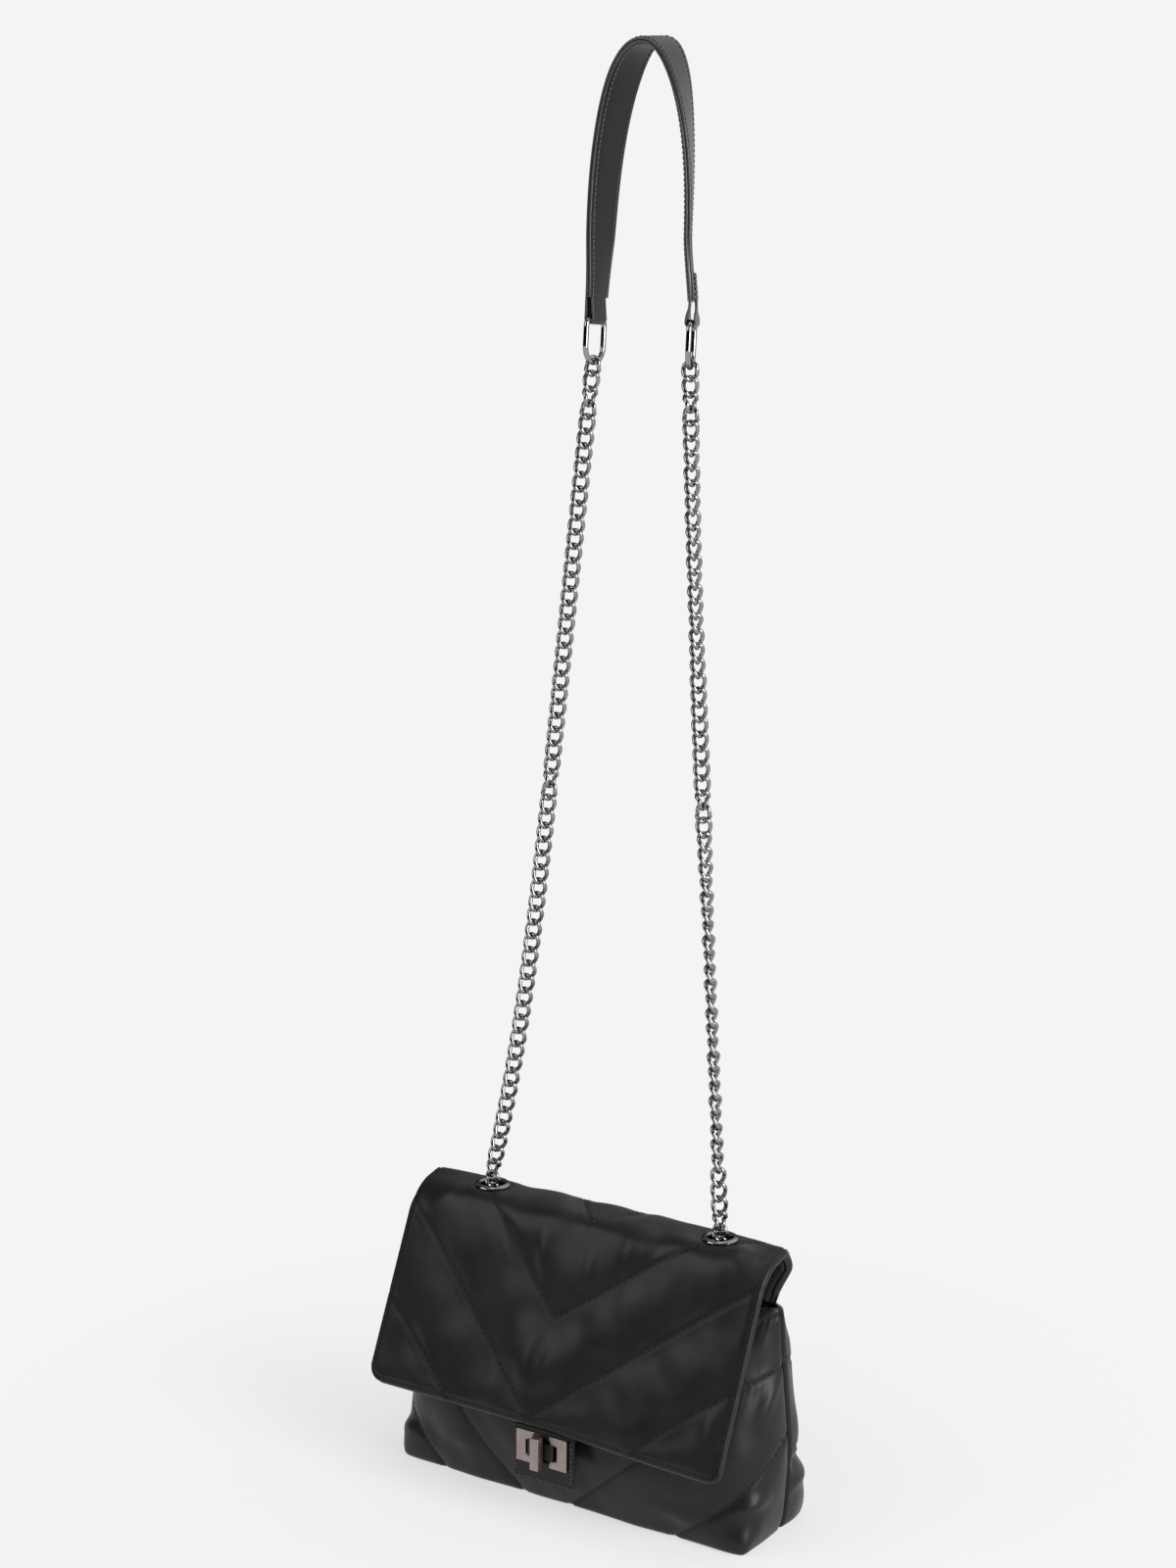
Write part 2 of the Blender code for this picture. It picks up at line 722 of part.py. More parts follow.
def build_strands():
    for side, word in SIDE_NAMES.items():
        for name, low, high, end_turn in (
            ("chain_lower", STRAP_PIVOT_HEIGHT, STRAP_FOLD_HEIGHT, 0),
            ("chain_upper", STRAP_FOLD_HEIGHT, PAD_FOLD_HEIGHT, 0),
            ("chain_end", PAD_FOLD_HEIGHT, PAD_PIVOT_HEIGHT, RING_TURN[side]),
        ):
            points = [strand_point(side, float(height)) for height in np.linspace(low, high, STRAND_STEPS)]
            chain(f"{name}_{word}", links_along(points, WIRE_FLAT + LINK_GAP, end_turn))


def rounded_loop(width, length, bottom_corner, top_corner):
    """A closed outline about its centre: a top bar with small corners over a bottom with its own."""
    half, rise = width / 2, length / 2
    corners = (
        (half - top_corner, rise - top_corner, top_corner, 0),
        (top_corner - half, rise - top_corner, top_corner, math.pi / 2),
        (bottom_corner - half, bottom_corner - rise, bottom_corner, math.pi),
        (half - bottom_corner, bottom_corner - rise, bottom_corner, 3 * math.pi / 2),
    )
    points = []
    for across, up, radius, start in corners:
        for step in range(ARC_STEPS + 1):
            turn = start + step / ARC_STEPS * math.pi / 2
            points.append((across + radius * math.cos(turn), up + radius * math.sin(turn)))
    kept = [point for index, point in enumerate(points) if math.dist(point, points[index - 1]) > GAP]
    return kept


# Side tabs, rings and the ends of the chain inside the bag


def lining_x(height):
    """How far the lining's inner face reaches to a side, at the edge of a side tab."""
    reaches = []
    for facing in (FRONT, BACK):
        outline = half_outline(height, PANEL_THICKNESS + LINING_EASE + LINING_THICKNESS, facing)
        corner = outline[: SIDE_PIECES + 1]
        reaches.append(np.interp(TAB_HALF_WIDTH, [facing * point.y for point in corner], [point.x for point in corner]))
    return float(min(reaches))


def side_tab_line(side):
    """The foot of a side tab, and the middle of its loop: the tab lies on the lining up to the mouth."""
    mouth = POUCH_HEIGHT - LINING_DROP
    off = SOFT_GAP + TAB_THICKNESS / 2
    foot = Vector((side * (lining_x(TAB_BOTTOM) - off), 0, TAB_BOTTOM))
    edge = Vector((side * (lining_x(mouth) - off), 0, mouth))
    rise = (TAB_LOOP_HEIGHT - TAB_BOTTOM) / (mouth - TAB_BOTTOM)
    return foot, foot + (edge - foot) * rise


def build_side_tabs():
    hole = SIDE_RING_WIRE / 2 + GAP
    radius = hole + TAB_LOOP_WALL
    leg = TAB_THICKNESS / 2
    for side, word in SIDE_NAMES.items():
        foot, centre = side_tab_line(side)
        down = (foot - centre).normalized()
        over = Y_AXIS.cross(down)
        start = math.asin(leg / radius)
        turns = np.linspace(start, 2 * math.pi - start, 2 * TAB_LOOP_SIDES + 1)
        outline = [centre + over * (radius * math.sin(turn)) + down * (radius * math.cos(turn)) for turn in turns]
        outline += [foot - over * leg, foot + over * leg]
        rings = [[point + Y_AXIS * (end * TAB_HALF_WIDTH) for point in outline] for end in (LEFT, RIGHT)]
        tab = loft(f"side_tab_{word}", rings)
        bore_length = 2 * (TAB_HALF_WIDTH + CUT_OVERRUN)
        combine(tab, cylinder("tab_cut", centre, 2 * hole, bore_length, Y_AXIS, 2 * TAB_LOOP_SIDES), "DIFFERENCE")
        finish(tab, STRAP_LEATHER)


def build_tails():
    """The chain's ends: from the side rings inside the bag, up through the eyelets."""
    for side, word in SIDE_NAMES.items():
        _, loop = side_tab_line(side)
        pivot = Vector((side * EYELET_X, EYELET_Y, STRAP_PIVOT_HEIGHT))
        below = Vector((side * EYELET_X, EYELET_Y, RIDGE_HEIGHT - TAIL_RISE))
        toward = (below - loop).normalized()
        points = rounded_loop(SIDE_RING_WIDTH, SIDE_RING_LENGTH, SIDE_RING_CORNER, SIDE_RING_CORNER)
        middle = loop + toward * (SIDE_RING_LENGTH / 2)
        ring = wire(f"side_ring_{word}", [middle + Y_AXIS * y + toward * up for y, up in points], SIDE_RING_WIRE)
        finish(ring, GUNMETAL)
        hook = loop + toward * SIDE_RING_LENGTH
        inside = (SIDE_RING_WIRE + WIRE_FLAT) / 2 + LINK_GAP
        links = links_along([hook, below, pivot], inside)
        links[0] = (*links[0][:-1], UNTWISTED)
        chain(f"chain_tail_{word}", links)


# Shoulder pad


def lean():
    """The direction up the strap's plane."""
    return Vector((0, PAD_PIVOT_Y - EYELET_Y, PAD_PIVOT_HEIGHT - STRAP_PIVOT_HEIGHT)).normalized()


def ring_middle(side):
    hooked = (RING_WIRE + WIRE_FLAT) / 2 + LINK_GAP
    bottom = Vector((PAD_PIVOT_X[side], PAD_PIVOT_Y, PAD_PIVOT_HEIGHT)) - lean() * hooked
    return bottom + lean() * (RING_LENGTH / 2)


def turned_width(turn):
    """The pad's width direction, turned about the strap's lean."""
    normal = X_AXIS.cross(lean())
    return (-normal * math.cos(turn) - X_AXIS * math.sin(turn)).normalized()


def pad_stations():
    """Points of the pad's centre line with their width and face directions, from its left end to its right end."""
    rise = lean()
    spring = PAD_SPRING_HEIGHT - PAD_PIVOT_HEIGHT
    points = []
    for side in (LEFT, RIGHT):
        foot = ring_middle(side) + rise * (RING_LENGTH / 2 + RING_WIRE / 2 + END_REST)
        foot_up = (foot.z - PAD_PIVOT_HEIGHT) / rise.z
        shares = [step / LEG_STEPS for step in range(LEG_STEPS)]
        spring_x = PAD_ARCH_X + side * PAD_SPRING_HALF
        leg = [(foot.x + (spring_x - foot.x) * share, foot_up + (spring / rise.z - foot_up) * share) for share in shares]
        points.append(leg)
    crown = (PAD_TOP - PAD_SPRING_HEIGHT) / rise.z
    arch = []
    for step in range(ARCH_STEPS + 1):
        turn = math.pi * (1 - step / ARCH_STEPS)
        across = math.copysign(abs(math.cos(turn)) ** (2 / ARCH_POWER), math.cos(turn))
        up = max(math.sin(turn), 0) ** (2 / ARCH_POWER)
        arch.append((PAD_ARCH_X + PAD_SPRING_HALF * across, spring / rise.z + crown * up))
    line = points[0] + arch + points[1][::-1]
    base = Vector((0, PAD_PIVOT_Y, PAD_PIVOT_HEIGHT))
    centres = [base + X_AXIS * x + rise * up for x, up in line]
    stations = []
    for index, centre in enumerate(centres):
        share = index / (len(centres) - 1)
        run = (centres[min(index + 1, len(centres) - 1)] - centres[max(index - 1, 0)]).normalized()
        turn = RING_TURN[RIGHT] * smooth((share - TWIST_START) / TWIST_SPAN) + RING_TURN[LEFT]
        across = turned_width(turn)
        across = (across - run * across.dot(run)).normalized()
        stations.append((share, (centre, across, across.cross(run))))
    return stations


def smooth(share):
    share = min(max(share, 0), 1)
    return share * share * (3 - 2 * share)


def pad_width(share):
    """Full in the middle, tapering to the ends."""
    away = abs(2 * share - 1)
    return PAD_WIDTH + (PAD_END_WIDTH - PAD_WIDTH) * smooth(away)


def build_pad():
    offset = (LAYER_THICKNESS + GAP) / 2
    stations = pad_stations()
    for name, shift in (("strap_outer", offset), ("strap_lining", -offset)):
        layer = [(share, (centre + out * shift, across, out)) for share, (centre, across, out) in stations]
        finish(strip(name, layer, pad_width, LAYER_THICKNESS), STRAP_LEATHER)
    for side, word in SIDE_NAMES.items():
        middle = ring_middle(side)
        across = turned_width(RING_TURN[side])
        outline = rounded_loop(RING_WIDTH, RING_LENGTH, RING_WIDTH / 2, RING_CORNER)
        ring = wire(f"strap_ring_{word}", [middle + across * w + lean() * up for w, up in outline], RING_WIRE)
        finish(ring, GUNMETAL)
        build_strap_end(f"strap_end_{word}", middle + lean() * (RING_LENGTH / 2), across, stations, side)


def build_strap_end(name, bar, across, stations, side):
    """A strip folded round the ring's top bar, with a leg sewn to each face of the pad."""
    rise = lean()
    out = across.cross(rise)
    radius = LAYER_THICKNESS + GAP / 2 + SOFT_GAP + LAYER_THICKNESS / 2
    foot = stations[0][1][0] if side == LEFT else stations[-1][1][0]
    spring = stations[LEG_STEPS][1][0] if side == LEFT else stations[-1 - LEG_STEPS][1][0]
    leg = (spring - foot).normalized()
    top = foot + leg * (END_LEG - END_REST)
    turns = [math.pi * step / (2 * ARC_STEPS) for step in range(2 * ARC_STEPS + 1)]
    path = [(top + out * radius, out), (foot + out * radius, out)]
    path += [(bar + (out * math.cos(turn) - rise * math.sin(turn)) * radius, None) for turn in turns]
    path += [(foot - out * radius, -out), (top - out * radius, -out)]
    placed = []
    for index, (point, face) in enumerate(path):
        away = face if face is not None else (point - bar).normalized()
        placed.append((index / (len(path) - 1), (point, across, away)))
    finish(strip(name, placed, lambda share: END_WIDTH, LAYER_THICKNESS), STRAP_LEATHER)


# Turn lock


def frame_plate(name, back_y, thickness, height):
    """A rectangular frame round the slot, whose back lies at back_y."""
    centre = Vector((0, back_y - thickness / 2, LOCK_HEIGHT))
    plate = box(name, centre, (PLATE_WIDTH, thickness, height))
    slot = box("slot_cut", centre, (SLOT_WIDTH, thickness + 2 * CUT_OVERRUN, SLOT_HEIGHT))
    combine(plate, slot, "DIFFERENCE")
    finish(plate, SATIN_GUNMETAL)


def lock_tab_stations(tab_y):
    """The leather tab: flat under the flap's lining, then bent to hang straight behind the plate."""
    edge, down, out = flap_frame()
    depth = FLAP_DEPTH + GAP + LEATHER_TAB_THICKNESS / 2
    along = (LEATHER_TAB_TOP - edge.z) / -down.z
    top = edge - down * along - out * depth
    knee = edge - out * (depth + GAP)
    clear = knee + down * (BINDING_WIDTH + 2 * GAP)
    bend = Vector((0, tab_y, LEATHER_TAB_BEND))
    bottom = Vector((0, tab_y, LEATHER_TAB_BOTTOM))
    points = [top, knee, clear, bend, bottom]
    stations = []
    for index, point in enumerate(points):
        run = (points[min(index + 1, len(points) - 1)] - points[max(index - 1, 0)]).normalized()
        stations.append((index / (len(points) - 1), (point, X_AXIS, X_AXIS.cross(run))))
    return stations


def build_lock(front_panel):
    plate_back = LOCK_FACE_Y + PLATE_THICKNESS
    tab_y = plate_back + GAP + LEATHER_TAB_THICKNESS / 2
    behind_tab = tab_y + LEATHER_TAB_THICKNESS / 2 + GAP + PLATE_BACK_THICKNESS
    frame_plate("lock_plate", plate_back, PLATE_THICKNESS, PLATE_HEIGHT)
    frame_plate("lock_plate_back", behind_tab, PLATE_BACK_THICKNESS, PLATE_BACK_HEIGHT)
    tab = strip("lock_tab", lock_tab_stations(tab_y), lambda share: LEATHER_TAB_WIDTH, LEATHER_TAB_THICKNESS)
    tab_depth = LEATHER_TAB_THICKNESS + 2 * CUT_OVERRUN
    combine(tab, box("tab_slot_cut", (0, tab_y, LOCK_HEIGHT), (SLOT_WIDTH, tab_depth, SLOT_HEIGHT)), "DIFFERENCE")
    finish(tab, LEATHER)
    _, front, *_ = pouch_section(LOCK_HEIGHT)
    base_back = -(FRONT_REACH + GAP / 2 + SOFT_GAP)
    base_front = base_back - BASE_THICKNESS
    base_middle = (base_back + base_front) / 2
    base = box("lock_base", (0, base_middle, LOCK_HEIGHT), (BASE_WIDTH, BASE_THICKNESS, BASE_HEIGHT))
    boss_front = LOCK_FACE_Y - BOSS_PROUD
    boss_length = base_middle - boss_front
    boss = box("boss", (0, boss_front + boss_length / 2, LOCK_HEIGHT), (BOSS_WIDTH, boss_length, BOSS_HEIGHT))
    combine(base, boss, "UNION")
    panel_inner = -(front + GAP / 2 - PANEL_THICKNESS)
    back_plate_front = panel_inner - BACK_PLATE_THICKNESS - SOFT_GAP
    back_plate_middle = back_plate_front + BACK_PLATE_THICKNESS / 2
    prong_end = back_plate_front - GAP
    prong_length = prong_end - base_middle
    for side in (LEFT, RIGHT):
        place = (side * PRONG_SPREAD, base_middle + prong_length / 2, LOCK_HEIGHT)
        combine(base, box("prong", place, (PRONG_WIDTH, prong_length, PRONG_HEIGHT)), "UNION")
        cut_size = (PRONG_WIDTH + 2 * GAP, prong_length + 2 * CUT_OVERRUN, PRONG_HEIGHT + 2 * GAP)
        combine(front_panel, box("prong_cut", place, cut_size), "DIFFERENCE")
    bore_length = POST_DEPTH + CUT_OVERRUN
    bore = (0, boss_front - CUT_OVERRUN + bore_length / 2, LOCK_HEIGHT)
    bore_cut = cylinder("post_cut", bore, POST_DIAMETER + 4 * GAP, bore_length, Y_AXIS, POST_SIDES)
    combine(base, bore_cut, "DIFFERENCE")
    finish(base, SATIN_GUNMETAL)
    back_plate_size = (BASE_WIDTH, BACK_PLATE_THICKNESS, BASE_HEIGHT)
    back_plate = box("lock_back_plate", (0, back_plate_middle, LOCK_HEIGHT), back_plate_size)
    recess_depth = BACK_PLATE_THICKNESS + 2 * SOFT_GAP + CUT_OVERRUN
    recess_middle = back_plate_front - GAP + recess_depth / 2
    recess_size = (BASE_WIDTH + 2 * SOFT_GAP, recess_depth, BASE_HEIGHT + 2 * SOFT_GAP)
    combine(front_panel, box("recess_cut", (0, recess_middle, LOCK_HEIGHT), recess_size), "DIFFERENCE")
    finish(back_plate, GUNMETAL)
    build_toggle(boss_front)


def build_toggle(boss_front):
    """The bar that turns on its post: upright it holds the plate, level it passes through the slot."""
    toggle_back = boss_front - TOGGLE_LIFT
    middle = toggle_back - TOGGLE_THICKNESS / 2
    toggle = box("lock_toggle", (0, middle, LOCK_HEIGHT), (TOGGLE_WIDTH, TOGGLE_THICKNESS, TOGGLE_LENGTH))
    soften(toggle, TOGGLE_EDGE)
    finish(toggle, SATIN_GUNMETAL)
    post_end = boss_front + POST_DEPTH - POST_DIAMETER / 2
    post_length = post_end - toggle_back - GAP
    post_middle = toggle_back + GAP + post_length / 2
    post = cylinder("lock_post", (0, post_middle, LOCK_HEIGHT), POST_DIAMETER, post_length, Y_AXIS, POST_SIDES)
    finish(post, SATIN_GUNMETAL)


front_panel = build_pouch()
build_flap()
build_eyelets()
build_strands()
build_side_tabs()
build_tails()
build_pad()
build_lock(front_panel)
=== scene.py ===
"""Quilted crossbody bag: leather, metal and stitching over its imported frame, in a plain light studio.

Metres, +Z up, front towards -Y, origin in the middle of the footprint on the floor, as in the frame.
"""

from __future__ import annotations

import logging
import math
from dataclasses import dataclass
from enum import Enum

import bmesh
import bpy
import numpy as np
from mathutils import Matrix, Vector

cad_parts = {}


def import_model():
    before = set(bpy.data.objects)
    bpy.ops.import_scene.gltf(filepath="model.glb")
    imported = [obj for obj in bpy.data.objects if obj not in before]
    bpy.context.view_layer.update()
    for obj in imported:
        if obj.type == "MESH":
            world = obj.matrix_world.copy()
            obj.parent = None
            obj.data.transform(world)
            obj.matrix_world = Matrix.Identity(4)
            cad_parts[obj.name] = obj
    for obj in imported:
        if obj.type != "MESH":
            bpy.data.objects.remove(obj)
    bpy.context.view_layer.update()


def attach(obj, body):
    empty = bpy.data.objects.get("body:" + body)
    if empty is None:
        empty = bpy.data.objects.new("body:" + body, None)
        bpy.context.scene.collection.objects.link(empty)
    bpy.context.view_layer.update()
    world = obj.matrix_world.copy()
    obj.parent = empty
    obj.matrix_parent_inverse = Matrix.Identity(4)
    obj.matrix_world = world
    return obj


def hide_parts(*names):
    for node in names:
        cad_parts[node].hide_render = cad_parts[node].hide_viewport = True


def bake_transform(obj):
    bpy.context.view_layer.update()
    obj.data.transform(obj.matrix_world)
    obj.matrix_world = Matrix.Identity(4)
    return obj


LOG = logging.getLogger("bag")
Array = np.ndarray
Tree = bpy.types.NodeTree
Socket = bpy.types.NodeSocket
Object = bpy.types.Object
Material = bpy.types.Material
Pair = tuple[float, float]
Triple = tuple[float, float, float]

MM = 0.001
# The right eyelet's place across and along Y, the height of its ridge, and that of the lock's middle.
EYELET = (0.076, -0.005)
RIDGE = 0.163
LOCK_HEIGHT = 0.042
# The cells of the leather's noise, and how far ahead of its middle a stitch's direction is read.
NOISE_CELL = 1.3 * MM
AHEAD = 0.002
# How the loose sheet of a quilted panel is blown up: its weight, its stiffness and the pressure under it.
SHEET = {
    "quality": 6,
    "mass": 0.25,
    "tension_stiffness": 18,
    "compression_stiffness": 18,
    "shear_stiffness": 8,
    "bending_stiffness": 4,
    "vertex_group_mass": "sewn",
    "use_pressure": True,
    "uniform_pressure_force": 3.5,
    "shrink_min": -0.004,
}


class Side(Enum):
    """The two sides of the bag, as someone who faces its front sees them."""

    LEFT = -1
    RIGHT = 1

    @property
    def word(self) -> str:
        """The word that ends the names of this side's pieces."""
        return self.name.lower()

    @property
    def number(self) -> int:
        """This side's place in a pair of values."""
        return (self.value + 1) // 2


class Facing(Enum):
    """The two quilted panels of the pouch, by the direction that they face along Y."""

    FRONT = -1
    BACK = 1


# Colour and nodes


def linear(code: str) -> tuple[float, float, float, float]:
    """Turns an sRGB hex colour into linear light.

    Args:
        code: the colour, such as "#2b2b2d".

    Returns:
        Red, green, blue and an alpha of one: each channel is c / 12.92 when dark and
        ((c + 0.055) / 1.055) to the power 2.4 otherwise.
    """
    channels = [int(code[place : place + 2], 16) / 255 for place in (1, 3, 5)]
    light = [c / 12.92 if c <= 0.04045 else ((c + 0.055) / 1.055) ** 2.4 for c in channels]
    return (*light, 1.0)


def node(tree: Tree, kind: str, settings: dict | None = None, links: dict | None = None) -> bpy.types.Node:
    """Adds a node with its settings, its socket values and its links.

    Args:
        tree: the node tree that gets it.
        kind: the node's type without its ShaderNode prefix.
        settings: properties of the node.
        links: socket name or number to a value, or to the output socket that feeds it.

    Returns:
        The new node.
    """
    made = tree.nodes.new("ShaderNode" + kind)
    for name, value in (settings or {}).items():
        setattr(made, name, value)
    for name, value in (links or {}).items():
        if isinstance(value, Socket):
            tree.links.new(value, made.inputs[name])
        else:
            made.inputs[name].default_value = value
    return made


def ramp(tree: Tree, value: Socket, low: float, high: float, ends: Pair) -> Socket:
    """Maps a value from one range to another and holds it inside.

    Args:
        tree: the node tree.
        value: the socket to map.
        low: the value that gives the first end.
        high: the value that gives the second end.
        ends: the two results.

    Returns:
        The mapped socket.
    """
    links = {"Value": value, "From Min": low, "From Max": high, "To Min": ends[0], "To Max": ends[1]}
    return node(tree, "MapRange", links=links).outputs["Result"]


def scaled(coordinates: Socket, size_mm: float, **more: float) -> dict:
    """Links for a texture with a pattern of the given size: its scale is one over that size."""
    return {"Vector": coordinates, "Scale": 1 / (size_mm * MM), **more}


def relief(tree: Tree, height: Socket, depth_mm: float, under: Socket | None = None) -> Socket:
    """Turns a height into a bumped normal.

    Args:
        tree: the node tree.
        height: the height from 0 to 1.
        depth_mm: the depth of the relief.
        under: the normal of a coarser relief.

    Returns:
        The normal socket.
    """
    links = {"Height": height, "Distance": depth_mm * MM, "Strength": 1.0}
    if under is not None:
        links["Normal"] = under
    return node(tree, "Bump", links=links).outputs["Normal"]


def joined(material: Material, colour: Socket, roughness: Socket, normal: Socket) -> Material:
    """Feeds a material's shader.

    Args:
        material: the material.
        colour: its colour.
        roughness: its roughness.
        normal: its bumped normal.

    Returns:
        The same material.
    """
    tree = material.node_tree
    shader = tree.nodes["Principled BSDF"]
    for name, socket in (("Base Color", colour), ("Roughness", roughness), ("Normal", normal)):
        tree.links.new(socket, shader.inputs[name])
    return material


@dataclass(frozen=True)
class Finish:
    """What every finish has: a name, two close colours, a roughness and how much it varies.

    The colour and the roughness drift between their ends over patches of patch_mm, and a fine relief of
    grain_mm with a depth of relief_mm breaks up the gloss.
    """

    name: str
    dark: str
    light: str
    roughness: float
    drift: float
    patch_mm: float
    grain_mm: float
    relief_mm: float
    metallic: float = 0.0
    specular: float = 0.5
    edge_tint: float = 1.0

    def start(self) -> tuple[Material, Socket, Socket, Socket]:
        """Makes the material, sets the sockets that are the same all over, and drifts colour and roughness.

        Returns:
            The material, the object coordinates, the colour and the roughness.
        """
        material = bpy.data.materials.new(self.name)
        material.use_nodes = True
        tree = material.node_tree
        shader = tree.nodes["Principled BSDF"]
        shader.inputs["Metallic"].default_value = self.metallic
        shader.inputs["Specular IOR Level"].default_value = self.specular
        shader.inputs["Specular Tint"].default_value = (self.edge_tint, self.edge_tint, self.edge_tint, 1.0)
        coordinates = node(tree, "TexCoord").outputs["Object"]
        links = scaled(coordinates, self.patch_mm, Detail=4.0, Roughness=0.6)
        patches = node(tree, "TexNoise", links=links).outputs["Fac"]
        share = ramp(tree, patches, 0.3, 0.7, (0.0, 1.0))
        links = {0: share, 1: linear(self.dark), 2: linear(self.light)}
        colour = node(tree, "MixRGB", links=links).outputs[0]
        ends = (self.roughness - self.drift, self.roughness + self.drift)
        return material, coordinates, colour, ramp(tree, patches, 0.25, 0.75, ends)

    def build(self) -> Material:
        """Builds the plain form of the finish: drifting colour and gloss over one fine relief."""
        material, coordinates, colour, roughness = self.start()
        tree = material.node_tree
        grain = node(tree, "TexNoise", links=scaled(coordinates, self.grain_mm, Detail=3.0)).outputs["Fac"]
        return joined(material, colour, roughness, relief(tree, grain, self.relief_mm))


@dataclass(frozen=True)
class Leather(Finish):
    """Smooth dyed calf: a tight cell grain, faint creases, and painted shade along its seams, where it is
    also duller.
    """

    crease_mm: float = 9.0
    # The colour of the painted shade in the grooves along the seams.
    seam_shade: str = "#0c0c0d"
    seam_dulling: float = 0.18

    def build(self) -> Material:
        """Builds the leather: cells of grain over creases three times as deep."""
        material, coordinates, colour, roughness = self.start()
        tree = material.node_tree
        seam = node(tree, "Attribute", {"attribute_name": "seam"}).outputs["Fac"]
        # The seam mark mixes in painted shade.
        shaded = node(tree, "MixRGB", links={0: seam, 1: colour, 2: linear(self.seam_shade)}).outputs[0]
        settings = {"operation": "MULTIPLY_ADD", "use_clamp": True}
        duller = node(tree, "Math", settings, {0: seam, 1: self.seam_dulling, 2: roughness}).outputs[0]
        cells = node(tree, "TexVoronoi", links=scaled(coordinates, self.grain_mm)).outputs["Distance"]
        links = scaled(coordinates, self.crease_mm, Detail=5.0, Distortion=0.9)
        folds = node(tree, "TexNoise", links=links).outputs["Fac"]
        creases = relief(tree, folds, 3 * self.relief_mm)
        return joined(material, shaded, duller, relief(tree, cells, self.relief_mm, creases))


@dataclass(frozen=True)
class Twill(Finish):
    """A close woven cloth: slanting ribs one thread wide, with a matt surface."""

    rib_shade: float = 0.35
    waves: float = 0.3

    def build(self) -> Material:
        """Builds the twill: bands of waves, of which a scale of one gives about three to the metre."""
        material, coordinates, colour, roughness = self.start()
        tree = material.node_tree
        settings = {"wave_type": "BANDS", "bands_direction": "DIAGONAL"}
        scale = self.waves / (self.grain_mm * MM)
        links = {"Vector": coordinates, "Scale": scale, "Distortion": 0.6, "Detail": 1.0}
        ribs = node(tree, "TexWave", settings, links).outputs["Fac"]
        links = {0: self.rib_shade, 1: colour, 2: ribs}
        darker = node(tree, "MixRGB", {"blend_type": "MULTIPLY"}, links).outputs[0]
        return joined(material, darker, roughness, relief(tree, ribs, self.relief_mm))


@dataclass(frozen=True)
class Brushed(Finish):
    """Plated metal with a fine brushed line along X, drawn as noise that is stretched along the brush."""

    stretch: float = 22.0
    unevenness: float = 0.12

    def build(self) -> Material:
        """Builds the brushed metal."""
        material, coordinates, colour, roughness = self.start()
        tree = material.node_tree
        across = 1 / (self.grain_mm * MM)
        links = {"Vector": coordinates, "Scale": (across / self.stretch, across, across)}
        lines = node(tree, "Mapping", links=links).outputs[0]
        brush = node(tree, "TexNoise", links={"Vector": lines, "Scale": 1.0, "Detail": 2.0}).outputs["Fac"]
        links = {0: brush, 1: self.unevenness, 2: roughness}
        uneven = node(tree, "Math", {"operation": "MULTIPLY_ADD"}, links).outputs[0]
        return joined(material, colour, uneven, relief(tree, brush, self.relief_mm))


# Calf, drum dyed near black and lightly polished: soft broad highlights. Grain drawn at twice its size.
QUILT_CALF = Leather("quilted_calf", "#161617", "#1c1c1e", 0.37, 0.04, 30, 0.9, 0.022, specular=0.26)
# The same hide on the strap, shaved thinner and burnished: a little glossier.
STRAP_CALF = Leather("strap_calf", "#141415", "#19191b", 0.32, 0.04, 20, 0.8, 0.018, specular=0.32)
# Edge paint on cut leather: smooth, a little paler than the hide, the paleness partly painted sheen along
# the edges.
EDGE_PAINT_AND_SHEEN = Finish("edge_paint_and_sheen", "#2e2e30", "#3a3a3d", 0.3, 0.04, 8, 0.6, 0.01)
# Bonded polyester sewing thread, drawn at its real 0.5 mm: dark with a slight lustre.
THREAD = Finish("bonded_thread", "#515155", "#606064", 0.38, 0.05, 4, 0.25, 0.03)
# The quilting's thread, dyed to the hide: it shows only as a row of small shadows.
QUILT_THREAD = Finish("quilting_thread", "#171719", "#202022", 0.5, 0.05, 4, 0.25, 0.03)
# Cotton twill, piece dyed: no gloss, ribs drawn at 0.7 mm.
LINING_TWILL = Twill("lining_twill", "#242223", "#2d2b2b", 0.86, 0.04, 30, 0.7, 0.12, specular=0.3)
# Grey board under the lining: matt with fine fibres.
BOARD = Finish("grey_board", "#8b8883", "#979489", 0.92, 0.03, 12, 0.8, 0.05, specular=0.2)
# Zinc alloy, polished and plated gunmetal: dark mirror with small dips from the casting.
POLISHED_GUNMETAL = Finish(
    "polished_gunmetal", "#918d8b", "#a3a09d", 0.06, 0.04, 7, 2.2, 0.012, metallic=1.0, edge_tint=0.12
)
# Zinc alloy, brushed and plated satin gunmetal: warm, with soft highlights.
SATIN_GUNMETAL = Brushed("satin_gunmetal", "#968983", "#a69a94", 0.34, 0.04, 9, 0.12, 0.01, metallic=1.0)
# The same alloy, darkened as painted shade in the lock's recesses and on the parts behind the plate.
PAINTED_SHADE_GUNMETAL = Brushed("painted_shade_gunmetal", "#3a3635", "#46413f", 0.42, 0.05, 9, 0.12, 0.01, metallic=1.0)

MADE: dict[str, Material] = {}


def material_of(finish: Finish) -> Material:
    """The material of a finish, built once."""
    if finish.name not in MADE:
        MADE[finish.name] = finish.build()
    return MADE[finish.name]


# Meshes from arrays


